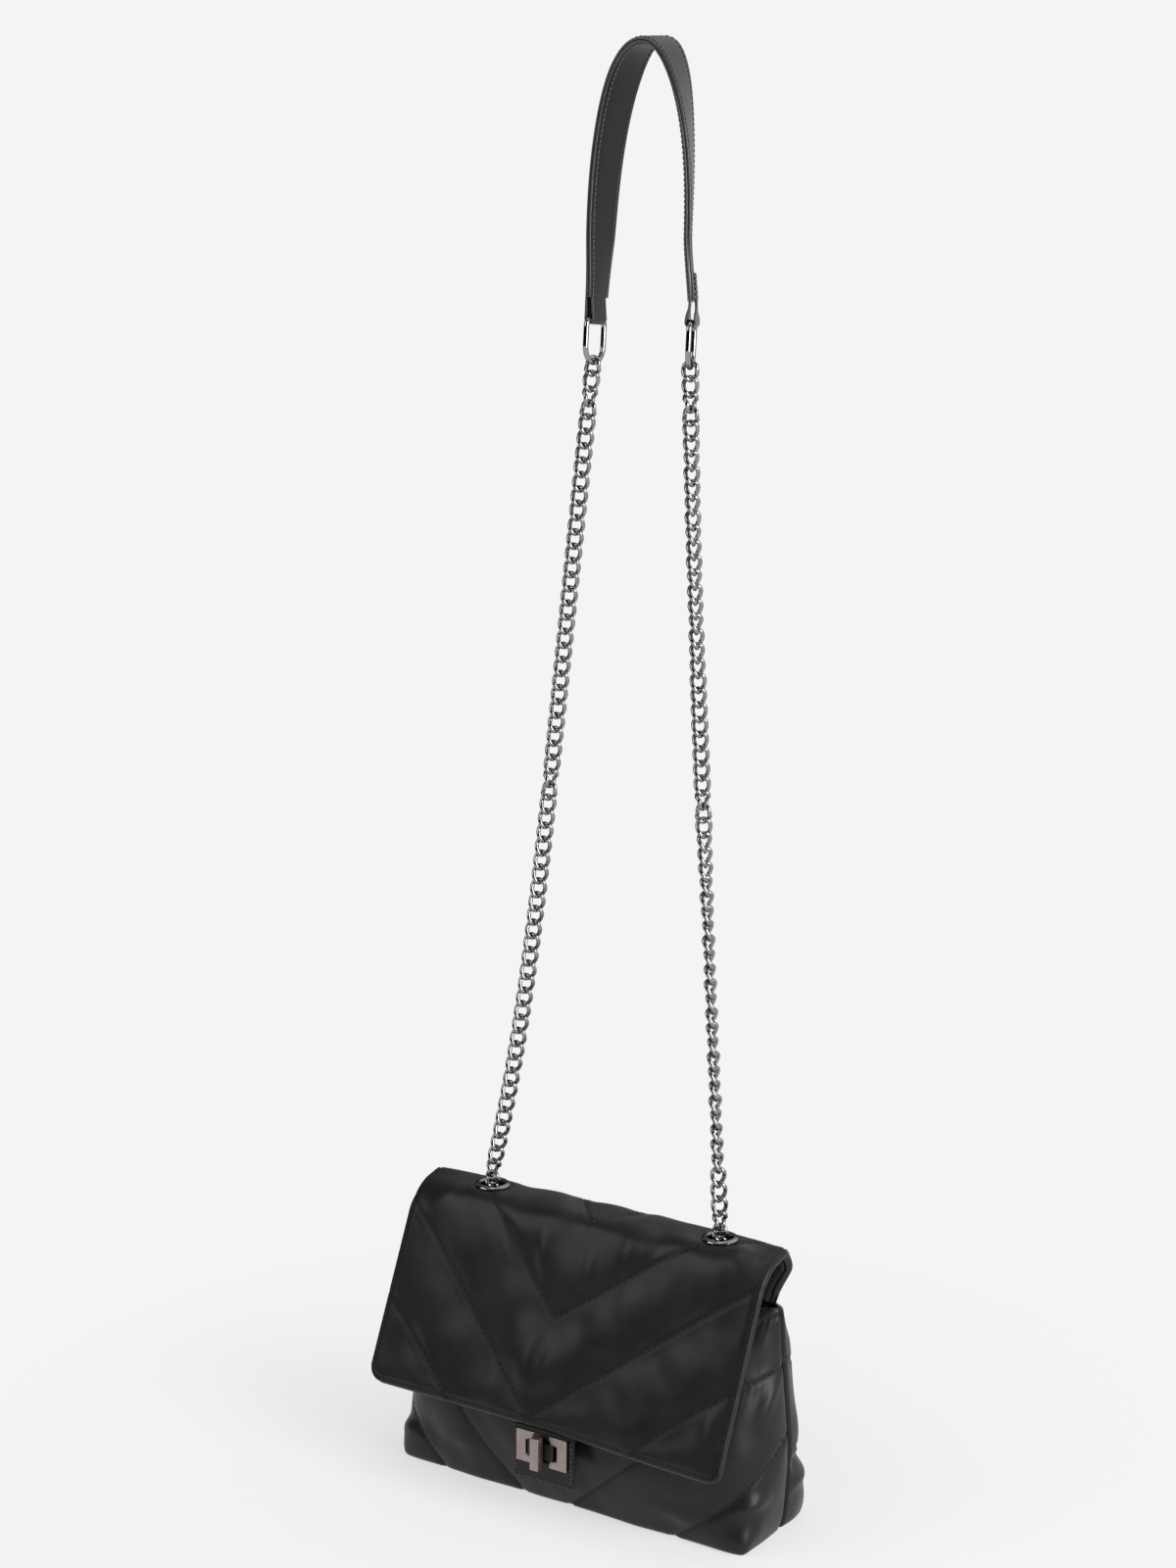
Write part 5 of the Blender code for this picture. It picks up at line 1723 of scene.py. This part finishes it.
def strap_rings(
    path: Array, across: Array, out: Array, widths: Array, thickness: float, crown: float
) -> Array:
    """Sections of a leather strap along a path.

    Args:
        path: the middle of the strap.
        across: the directions of its width.
        out: the directions out of its face.
        widths: its widths.
        thickness: its thickness at the edges.
        crown: how much its upper face swells in its middle.

    Returns:
        The rings for tubes(): a rectangle whose corners are quarter circles, with a crowned upper face.
    """
    radius = thickness * 0.42
    quarter = np.linspace(0, math.pi / 2, 4)
    face = np.linspace(0.9, -0.9, 7)
    half = thickness / 2 - radius
    corner = [((1, radius * math.cos(q)), half + radius * math.sin(q)) for q in quarter]
    swell = crown * (1 - face**2) ** 0.5 * (1 - np.abs(face) ** 6)
    top = [((share, 0.0), thickness / 2 + rise) for share, rise in zip(face, swell)]
    left = [((-1, -radius * math.sin(q)), half + radius * math.cos(q)) for q in quarter]
    upper = corner + top + left
    lower = [((-share, -extra), -min(height, thickness / 2)) for (share, extra), height in upper]
    shares, extras, rises = np.transpose([(*place, height) for place, height in upper + lower])
    reach = shares[None] * (widths[:, None] / 2 - radius) + extras[None]
    return path[:, None] + across[:, None] * reach[..., None] + out[:, None] * rises[None, :, None]


def strap(name: str, rings: Array, painted: bool = True) -> Object:
    """Makes a piece of strap leather, with edge paint and painted sheen on its cut edges unless they are
    folded in.

    Args:
        name: the piece's name.
        rings: its sections from strap_rings(), whose two faces are the points 3 to 11 of each half.
        painted: whether the edges get the edge paint and its painted sheen.

    Returns:
        The piece.
    """
    obj = tubes(name, rings, STRAP_CALF)
    if painted:
        stations, sides = rings.shape[:2]
        # The cut edges get the edge paint, whose paler tone is partly painted sheen.
        obj.data.materials.append(material_of(EDGE_PAINT_AND_SHEEN))
        number = np.arange(len(obj.data.polygons))
        place = number % sides % (sides // 2)
        edge = (place < 3) | (place > 10) | (number >= (stations - 1) * sides)
        obj.data.polygons.foreach_set("material_index", edge.astype(np.int32))
    return obj


@dataclass(frozen=True)
class ShoulderPad:
    """The shoulder pad: two sewn layers of leather along an arch, on a ring at each end.

    Twists are places along the pad, as shares of its length, with its turn there in degrees. The legs of an
    end strip, its stitches and its tucked end stand at lengths along the pad from its end.
    """

    layer: float = 0.0015
    layer_crown: float = 0.0005
    gap: float = 0.0002
    width: float = 0.026
    end_width: float = 0.018
    strands: Strands = Strands()
    spring: float = 0.700
    top: float = 0.802
    spring_half: float = 0.028
    arch_x: float = -0.0040
    power: float = 2.2
    leg_share: float = 5 / 24
    ring_wire: float = 0.0030
    ring_size: Pair = (0.0173, 0.0237)
    ring_corner: float = 0.0040
    end_rest: float = 0.0022
    strip_width: float = 0.0134
    strip: float = 0.0014
    strip_crown: float = 0.0002
    strip_inset: float = 0.0018
    slack: float = 0.0003
    leg: tuple[float, ...] = (0.014, 0.010, 0.006, 0.002)
    leg_sewn: Pair = (0.0015, 0.0125)
    tucked: Pair = (0.0, 0.0022)
    tuck_drop: float = 0.0006
    trim: float = 0.0075
    sewn_inset: float = 0.0026
    sewn_count: int = 104
    fine: int = 900
    rows: int = 190
    twists: tuple[Pair, ...] = (
        (0.0, 0), (0.10, -3), (0.25, -12), (0.38, -12), (0.47, -3),
        (0.55, 2), (0.62, 10), (0.70, 23), (0.78, 31), (1.0, 33),
    )
    cant: float = 0.12
    lean: float = 0.0012
    lean_from: float = 0.42
    lean_to: float = 0.80
    lean_ramp: float = 0.2

    def rise(self) -> Array:
        """The direction up the strap's plane."""
        s = self.strands
        return unit(np.array([0.0, s.pad_y - EYELET[1], s.pad_pivot - s.pivot]))

    def ring_middle(self, side: Side) -> Array:
        """The middle of a ring between chain and pad."""
        s = self.strands
        hooked = (self.ring_wire + s.section) / 2 + s.gap
        pivot = np.array([s.pad_x[side.number], s.pad_y, s.pad_pivot])
        return pivot + self.rise() * (self.ring_size[1] / 2 - hooked)

    def ring_across(self, side: Side) -> Array:
        """The direction across a ring, which is turned on the right."""
        return self.turned(np.array(self.strands.ring_turn if side is Side.RIGHT else 0.0))

    def turned(self, turn: Array) -> Array:
        """The direction of the pad's width when it is turned about the strap's rise."""
        normal = np.cross((1.0, 0.0, 0.0), self.rise())
        return unit(-normal * np.cos(turn)[..., None] - np.array([1.0, 0, 0]) * np.sin(turn)[..., None])

    def stations(self, shares: Array) -> tuple[Array, Array, Array]:
        """The pad's line with its width and face directions.

        Args:
            shares: places along it, from its left end at 0 to its right end at 1.

        Returns:
            Points, directions across and directions out. The legs are straight and the arch between them is
            the curve |x|^p + |y|^p = 1.
        """
        rise, s = self.rise(), self.strands
        spring_up = (self.spring - s.pad_pivot) / rise[2]
        crown = (self.top - self.spring) / rise[2]
        turn = math.pi * (1 - np.clip((shares - self.leg_share) / (1 - 2 * self.leg_share), 0, 1))
        swing = np.sign(np.cos(turn)) * np.abs(np.cos(turn)) ** (2 / self.power)
        x = self.arch_x + self.spring_half * swing
        up = spring_up + crown * np.maximum(np.sin(turn), 0) ** (2 / self.power)
        for side, share in zip(Side, (shares, 1 - shares)):
            along = share / self.leg_share
            above = self.ring_size[1] / 2 + self.ring_wire / 2 + self.end_rest
            foot = self.ring_middle(side) + rise * above
            foot_up = (foot[2] - s.pad_pivot) / rise[2]
            on_leg = along < 1
            spring_x = self.arch_x + side.value * self.spring_half
            x = np.where(on_leg, foot[0] + (spring_x - foot[0]) * along, x)
            up = np.where(on_leg, foot_up + (spring_up - foot_up) * along, up)
        leaning = smoothstep((shares - self.lean_from) / self.lean_ramp)
        x = x - self.lean * leaning * (1 - smoothstep((shares - self.lean_to) / self.lean_ramp))
        flat = blur(np.stack([x, up], -1), len(shares) / 70)
        foot = np.array([0.0, s.pad_y, s.pad_pivot])
        line = foot + flat[:, :1] * np.array([1.0, 0, 0]) + flat[:, 1:] * rise
        runs = unit(np.gradient(line, axis=0))
        turns = blur(np.radians(np.interp(shares, *np.transpose(self.twists))), len(shares) / 50)
        across = self.turned(turns) + rise * self.cant
        across = unit(across - runs * (across * runs).sum(-1, keepdims=True))
        return line, across, np.cross(runs, across)

    def even(self, count: int) -> Array:
        """Shares at even steps of the pad's length, between its two trimmed ends."""
        fine = np.linspace(0, 1, self.fine)
        run = run_of(self.stations(fine)[0])
        return np.interp(np.linspace(self.trim, run[-1] - self.trim, count), run, fine)

    def widths(self, shares: Array) -> Array:
        """The pad's width: full in the middle, smoothly down to its ends."""
        return self.width + (self.end_width - self.width) * smoothstep(np.abs(2 * shares - 1))

    def placed(self, shares: Array) -> tuple[Array, ...]:
        """The stations at uneven shares, read from an even run of them."""
        even = np.linspace(0, 1, self.fine)
        return tuple(read(part, even, shares) for part in self.stations(even))

    def build(self) -> None:
        """Builds the pad's layers, its stitches, its rings and its end strips."""
        shares = self.even(self.rows)
        line, across, out = self.placed(shares)
        widths = self.widths(shares)
        offset = (self.layer + self.gap) / 2
        for name, sign, replaced in (("pad_outer", 1, "strap_outer"), ("pad_inner", -1, "strap_lining")):
            middle = line + out * (sign * offset)
            rings = strap_rings(middle, across, out * sign, widths, self.layer, self.layer_crown)
            settle(strap(name, rings), "pad", "strap_leather", replaced)
        settle(self.stitching(), "pad", "strap_leather")
        for side in Side:
            self.ring(side)
            self.end(side)

    def stitching(self) -> Object:
        """The two rows of stitches on each face of the pad."""
        shares = self.even(2 * self.sewn_count + 1)[1::2]
        line, across, out = self.placed(shares)
        runs = np.gradient(line, axis=0)
        widths = self.widths(shares)
        rows = []
        for face in (-1, 1):
            for edge in (-1, 1):
                reach = edge * (widths / 2 - self.sewn_inset)
                height = face * (self.layer + self.gap / 2 + 0.00026)
                rows.append((line + across * reach[:, None] + out * height, runs, out * face))
        return Stitching(0.0025, 0.00066, THREAD).sew("pad_stitching", rows)

    def ring(self, side: Side) -> None:
        """One ring: a flat-topped loop of round wire."""
        flat = rounded_loop(*self.ring_size, self.ring_size[0] / 2, self.ring_corner)
        path = self.ring_middle(side) + flat[:, :1] * self.ring_across(side) + flat[:, 1:] * self.rise()
        wire = wire_loop(path[None], self.ring_wire, 12)
        ring = tubes(f"pad_ring_{side.word}", wire, POLISHED_GUNMETAL, closed=True)
        settle(ring, "pad", "gunmetal", f"strap_ring_{side.word}")

    def end(self, side: Side) -> None:
        """One end strip: folded round the ring's top bar, with a leg sewn to each face of the pad.

        Args:
            side: which end.
        """
        rise, across = self.rise(), self.ring_across(side)
        out = np.cross(across, rise) * side.value
        bar = self.ring_middle(side) + rise * self.ring_size[1] / 2
        radius = self.ring_wire / 2 + self.slack + self.strip / 2
        shares = self.even(self.rows)
        line, wide, face = self.placed(shares if side is Side.LEFT else shares[::-1])
        run = run_of(line)
        lift = self.layer + self.gap / 2 + self.strip / 2 + self.slack
        tuck = self.gap / 2 + self.layer / 2
        arc = np.linspace(-0.25, math.pi + 0.25, 15)
        outer = read(line, run, self.leg) + face[0] * lift
        loop = bar + (out * np.cos(arc)[:, None] - rise * np.sin(arc)[:, None]) * radius
        inner = read(line, run, self.tucked) - rise * self.tuck_drop - face[0] * tuck
        path = np.concatenate([outer, loop, inner])
        fine = np.linspace(0, len(path) - 1, 4 * len(path))
        path = blur(read(path, np.arange(len(path)), fine), 2.0)
        runs = unit(np.gradient(path, axis=0))
        near = smoothstep(((path - bar) @ rise - 0.002) / 0.006)[:, None]
        sides = across * (1 - near) + wide[0] * near
        sides = unit(sides - runs * (sides * runs).sum(-1, keepdims=True))
        widths = np.full(len(path), self.strip_width)
        rings = strap_rings(path, sides, -np.cross(runs, sides), widths, self.strip, self.strip_crown)
        settle(strap(f"pad_end_{side.word}", rings), "pad", "strap_leather", f"strap_end_{side.word}")
        at = read(line, run, np.linspace(*self.leg_sewn, 5))
        above = face[0] * (lift + self.strip / 2 - 0.00008)
        rows = []
        for edge in (-1, 1):
            spot = at + wide[0] * edge * (self.strip_width / 2 - self.strip_inset) + above
            rows.append((spot, np.gradient(at, axis=0), np.tile(face[0], (len(at), 1))))
        thread = Stitching(0.0020, 0.0005, THREAD).sew(f"pad_end_stitching_{side.word}", rows)
        settle(thread, "pad", "strap_leather")


@dataclass(frozen=True)
class TurnLock:
    """The turn lock: a plate with a stepped slot on a leather tab, and a bar that turns on a fixed base.

    A roll is the reach and the depth of a rounding, and a slot half its width and half its height.
    """

    face_y: float = -0.0665
    plate: Triple = (0.0334, 0.0020, 0.0186)
    slot_ends: Pair = (0.0102, 0.0044)
    slot_middle: Pair = (0.0058, 0.00625)
    channel: float = 0.0050
    channel_depth: float = 0.0009
    cell: float = 0.0004
    plate_roll: Pair = (0.0007, 0.0005)
    play: float = 0.0003
    tab_width: float = 0.040
    tab_thickness: float = 0.0024
    tab_slot: Pair = (0.0102, 0.00625)
    tab_corner: float = 0.0035
    tab_straight: float = 0.008
    tab_foot: float = 0.0205
    tab_hidden: float = 0.0205
    tab_roll: Pair = (0.0010, 0.0010)
    tab_back_roll: Pair = (0.0008, 0.0006)
    rim: float = 0.0016
    rim_depth: float = 0.00035
    rim_width: float = 0.0005
    rim_shade: float = 0.0006
    toggle: Triple = (0.0056, 0.0058, 0.0188)
    toggle_back: float = -0.0681
    toggle_round: float = 0.0009
    edge: Pair = (-0.0675, 0.0575)

    def plate_piece(self) -> Object:
        """The plate: a grid of fine cells without its slot, whose middle is sunk where the bar turns.

        Returns:
            The piece. Its face is rounded at every edge by the distance to that edge.
        """
        wide, thick, tall = self.plate
        xs = np.linspace(-wide / 2, wide / 2, round(wide / self.cell) + 1)
        zs = np.linspace(-tall / 2, tall / 2, round(tall / self.cell) + 1)
        x, z = np.meshgrid(xs, zs)
        outer_edge = np.minimum(wide / 2 - np.abs(x), tall / 2 - np.abs(z))

        def from_box(reach: float, rise: float) -> Array:
            """The distance outside a box about the middle, less than zero inside it."""
            return np.maximum(np.abs(x) - reach, np.abs(z) - rise)

        slot_edge = np.minimum(from_box(*self.slot_ends), from_box(*self.slot_middle))
        edge = np.maximum(np.minimum(outer_edge, slot_edge), 0)
        sunk = rounded(edge, *self.plate_roll)
        step = 1 - smoothstep((np.abs(x) - self.channel) / 0.0005)
        front = self.face_y + sunk + self.channel_depth * step
        outer = np.stack([x, front, z + LOCK_HEIGHT], -1)
        inner = np.stack([x, np.full_like(front, self.face_y + thick), z + LOCK_HEIGHT], -1)
        corners = slot_edge[1:, 1:] + slot_edge[:-1, :-1] + slot_edge[1:, :-1] + slot_edge[:-1, 1:]
        obj = shell("lock_face", outer, inner, SATIN_GUNMETAL, corners / 4 >= 0, sharp=40)
        obj.data.materials.append(material_of(PAINTED_SHADE_GUNMETAL))
        middles = np.empty(len(obj.data.polygons) * 3, np.float32)
        obj.data.polygons.foreach_get("center", middles)
        middles = middles.reshape(-1, 3)
        # The sunk channel and the faces set back from the plate's front get painted shade.
        dark = (np.abs(middles[:, 0]) < self.channel) | (middles[:, 1] > self.face_y + 0.0008)
        obj.data.polygons.foreach_set("material_index", dark.astype(np.int32))
        return obj

    def tab_line(self) -> tuple[Array, Array]:
        """The tab's middle line: from under the flap, round its edge, and down behind the plate.

        Returns:
            The line as Y and Z, and the length along it up to each point.
        """
        tab_y = self.face_y + self.plate[1] + self.play + self.tab_thickness / 2
        edge = np.array(self.edge)
        down = unit(edge - np.array(Flap.front_line[-2]))
        out = np.array([down[1], -down[0]])
        depth = Flap.depth + self.play + self.tab_thickness / 2
        top = edge - down * (self.tab_hidden / -down[1]) - out * depth
        knee = edge - out * (depth + self.play)
        clear = knee + down * 0.0022
        straight = [(tab_y, LOCK_HEIGHT + self.tab_straight), (tab_y, LOCK_HEIGHT - self.tab_foot)]
        corners = np.array([top, knee, clear, *straight])
        run = run_of(corners)
        places = np.linspace(0, run[-1], round(run[-1] / 0.0005) + 1)
        return blur(read(corners, run, places), 3.0), places

    def tab(self) -> tuple[Object, Object]:
        """The leather tab with its slot, and the stitches round its rim.

        Returns:
            The tab and its stitching. Both faces follow the line, and round off at the tab's edges.
        """
        line, places = self.tab_line()
        half = self.tab_width / 2
        corner = self.tab_corner
        left = places[-1] - places
        within = np.clip(corner - left, 0, corner)
        halves = half - corner + np.sqrt(np.maximum(corner**2 - within**2, 0))
        x = np.linspace(-half, half, 81)[None, :] / half * halves[:, None]
        runs = unit(np.gradient(line, axis=0))
        out = np.stack([0 * runs[:, 0], runs[:, 1], -runs[:, 0]], -1)
        out = out * np.where(out[:, 1:2] > 0, -1, 1)
        base = np.concatenate([x[..., None], np.broadcast_to(line[:, None], x.shape + (2,))], -1)
        edge = np.minimum(halves[:, None] - np.abs(x), left[:, None])
        rim = np.abs(edge - self.rim)
        groove = self.rim_depth * np.exp(-((rim / self.rim_width) ** 2))
        front = self.tab_thickness / 2 - rounded(edge, *self.tab_roll) - groove
        back = self.tab_thickness / 2 - rounded(edge, *self.tab_back_roll)
        outer = base + out[:, None] * front[..., None]
        inner = base - out[:, None] * back[..., None]
        wide, tall = self.tab_slot
        slot = np.maximum(np.abs(x) - wide, np.abs(base[..., 2] - LOCK_HEIGHT) - tall)
        keep = (slot[1:, 1:] + slot[:-1, :-1]) / 2 >= 0
        tab = shell("lock_strap", outer, inner, QUILT_CALF, keep, np.exp(-((rim / self.rim_shade) ** 2)))
        steps = np.flatnonzero((places > 0.026) & (left > 0.0034))[::5]
        low = np.arange(-half + 0.0036, half - 0.0030, 0.0025)
        foot = np.full(len(low), len(line) - 4)
        rows = []
        for across, at in (
            (np.full(len(steps), self.rim - half), steps),
            (np.full(len(steps), half - self.rim), steps),
            (low, foot),
        ):
            spot = np.concatenate([across[:, None], line[at]], -1)
            above = out[at] * (self.tab_thickness / 2 - 0.0001)
            rows.append((spot + above, np.gradient(spot, axis=0), out[at]))
        return tab, Stitching(0.0018, 0.0005, THREAD).sew("lock_strap_stitching", rows)

    def bar(self, steps: int = 4) -> Object:
        """The bar: a block with rounded edges and corners.

        Args:
            steps: points in the rounding of an edge.

        Returns:
            The bar: each point of a cube is held inside the inner box and pushed out by the radius.
        """
        centre = np.array((0, self.toggle_back - self.toggle[1] / 2, LOCK_HEIGHT))
        inner = np.array(self.toggle) / 2 - self.toggle_round
        turn = np.tan(np.linspace(-math.pi / 4, math.pi / 4, 2 * steps))
        cells = cells_of(2 * steps, 2 * steps).reshape(-1, 4)
        points, quads = [], []
        for axis in range(3):
            for sign in (-1, 1):
                way = np.empty((2 * steps, 2 * steps, 3))
                way[..., axis] = sign
                way[..., (axis + 1) % 3] = turn[:, None]
                way[..., (axis + 2) % 3] = turn
                quads.append(cells + len(points) * len(turn) ** 2)
                place = np.sign(way) * inner + unit(way) * self.toggle_round + centre
                points.append(place.reshape(-1, 3))
        obj = piece("lock_bar_piece", np.concatenate(points), np.concatenate(quads), SATIN_GUNMETAL)
        build = bmesh.new()
        build.from_mesh(obj.data)
        bmesh.ops.remove_doubles(build, verts=build.verts, dist=1e-7)
        bmesh.ops.recalc_face_normals(build, faces=build.faces)
        build.to_mesh(obj.data)
        build.free()
        return obj

    def build(self) -> None:
        """Builds the lock's pieces, and dresses the ones that stay as they are."""
        settle(self.plate_piece(), "flap", "satin_gunmetal", "lock_plate")
        tab, thread = self.tab()
        settle(tab, "flap", "quilted_leather", "lock_tab")
        settle(thread, "flap", "quilted_leather")
        settle(self.bar(), "lock_bar", "satin_gunmetal", "lock_toggle")
        # The plate's back and the base behind it get the painted-shade gunmetal.
        dress("lock_plate_back", PAINTED_SHADE_GUNMETAL)
        dress("lock_base", PAINTED_SHADE_GUNMETAL)
        dress("lock_post", SATIN_GUNMETAL)
        dress("lock_back_plate", POLISHED_GUNMETAL)
        dress("base_board", BOARD)


# Studio


def backdrop_rays(tree: Tree) -> Socket:
    """One for rays that see the backdrop: from the camera, through clear things and from mirrors."""
    rays = node(tree, "LightPath").outputs
    seen = rays["Is Camera Ray"]
    for name in ("Is Transmission Ray", "Is Glossy Ray"):
        seen = node(tree, "Math", {"operation": "MAXIMUM"}, {0: seen, 1: rays[name]}).outputs[0]
    return seen


@dataclass(frozen=True)
class Studio:
    """The studio: a flat pale floor that fades into the backdrop, soft lamps and the camera."""

    camera_place: Triple = (0.8404, -1.3090, 0.7373)
    camera_forward: Triple = (-0.5356, 0.8185, -0.2079)
    camera_roll: float = 0.5
    lens: float = 67.02
    sensor: float = 36.0
    pale: str = "#f4f4f6"
    lit: Triple = (0, 0, 0.15)
    room: str = "#101011"
    glow: str = "#b4b4b6"
    floor_shade: str = "#efeff0"
    floor_glow: float = 0.65

    def camera(self) -> None:
        """Places the camera: it looks along its forward direction and is rolled a little."""
        forward = Vector(self.camera_forward).normalized()
        right = forward.cross(Vector((0, 0, 1))).normalized()
        up = right.cross(forward)
        turn = math.radians(self.camera_roll)
        level = right * math.cos(turn) + up * math.sin(turn)
        upright = up * math.cos(turn) - right * math.sin(turn)
        data = bpy.data.cameras.new("camera")
        data.sensor_width = self.sensor
        data.sensor_fit = "AUTO"
        data.lens = self.lens
        data.clip_end = 50
        obj = bpy.data.objects.new("camera", data)
        turned = Matrix((level, upright, -forward)).transposed().to_4x4()
        obj.matrix_world = Matrix.Translation(self.camera_place) @ turned
        bpy.context.scene.collection.objects.link(obj)
        bpy.context.scene.camera = obj

    def lamp(self, name: str, place: Triple, size: Pair, power: float) -> None:
        """Adds a soft lamp that points at the bag.

        Args:
            name: its name.
            place: where it stands.
            size: its width and height.
            power: its power in watts.
        """
        data = bpy.data.lights.new(name, "AREA")
        data.shape = "RECTANGLE"
        data.size, data.size_y = size
        data.energy = power
        obj = bpy.data.objects.new(name, data)
        away = Vector(place) - Vector(self.lit)
        obj.matrix_world = Matrix.Translation(place) @ away.to_track_quat("Z", "Y").to_matrix().to_4x4()
        bpy.context.scene.collection.objects.link(obj)

    def world(self) -> None:
        """Lights the world softly, and shows it pale to the camera and to mirrors."""
        world = bpy.data.worlds.new("studio")
        world.use_nodes = True
        bpy.context.scene.world = world
        tree = world.node_tree
        background = tree.nodes["Background"]
        direction = node(tree, "TexCoord").outputs["Generated"]
        parts = node(tree, "SeparateXYZ", links={0: direction}).outputs
        behind = ramp(tree, parts["Y"], -0.15, 0.35, (0.0, 1.0))
        right = ramp(tree, parts["X"], -0.60, -0.15, (0.2, 1.0))
        behind = node(tree, "Math", {"operation": "MULTIPLY"}, {0: behind, 1: right}).outputs[0]
        above = ramp(tree, parts["Z"], 0.55, 0.85, (0.0, 0.3))
        paler = node(tree, "Math", {"operation": "MAXIMUM"}, {0: behind, 1: above}).outputs[0]
        camera = node(tree, "LightPath").outputs["Is Camera Ray"]
        share = node(tree, "Math", {"operation": "MAXIMUM"}, {0: camera, 1: paler}).outputs[0]
        seen = node(tree, "MixRGB", links={0: share, 1: linear(self.room), 2: linear(self.pale)}).outputs[0]
        shown = node(tree, "MixRGB", links={0: backdrop_rays(tree), 1: linear(self.glow), 2: seen})
        tree.links.new(shown.outputs[0], background.inputs["Color"])
        background.inputs["Strength"].default_value = 1.0

    def floor(self) -> None:
        """The floor: a wide pale sheet, which fades into the backdrop's colour away from the bag."""
        reach = 9.0
        mesh = bpy.data.meshes.new("studio_floor")
        corners = [(-reach, -reach, 0), (reach, -reach, 0), (reach, reach, 0), (-reach, reach, 0)]
        mesh.from_pydata(corners, [], [(0, 1, 2, 3)])
        obj = bpy.data.objects.new("studio_floor", mesh)
        bpy.context.scene.collection.objects.link(obj)
        material = bpy.data.materials.new("painted_floor")
        material.use_nodes = True
        tree = material.node_tree
        shader = tree.nodes["Principled BSDF"]
        shader.inputs["Base Color"].default_value = linear(self.floor_shade)
        shader.inputs["Roughness"].default_value = 0.9
        shader.inputs["Specular IOR Level"].default_value = 0.1
        coordinates = node(tree, "TexCoord").outputs["Object"]
        away = node(tree, "VectorMath", {"operation": "LENGTH"}, {0: coordinates}).outputs["Value"]
        fade = ramp(tree, away, 0.13, 0.40, (self.floor_glow, 1.0))
        share = node(tree, "Math", {"operation": "MULTIPLY"}, {0: fade, 1: backdrop_rays(tree)}).outputs[0]
        glow = node(tree, "Emission", links={"Color": linear(self.pale), "Strength": 1.0}).outputs[0]
        mixed = node(tree, "MixShader", links={0: share, 1: shader.outputs[0], 2: glow}).outputs[0]
        tree.links.new(mixed, tree.nodes["Material Output"].inputs["Surface"])
        mesh.materials.append(material)

    def build(self) -> None:
        """Sets the view transform, and builds the camera, the world, the floor and the lamps."""
        bpy.context.scene.view_settings.view_transform = "Standard"
        self.camera()
        self.world()
        self.floor()
        self.lamp("key", (-1.3, -1.6, 1.6), (1.5, 1.3), 15)
        self.lamp("side", (1.9, -0.35, 1.0), (1.1, 1.3), 40)
        self.lamp("top", (0.1, 0.0, 2.3), (1.3, 0.8), 5)


def main() -> None:
    """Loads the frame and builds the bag's parts in order."""
    logging.basicConfig(level=logging.INFO, format="%(message)s")
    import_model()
    Studio().build()
    pouch = Pouch()
    pouch.build()
    Flap().build(pouch.shape)
    Eyelets().build()
    Strands().build()
    ShoulderPad().build()
    TurnLock().build()


if __name__ == "__main__":
    main()
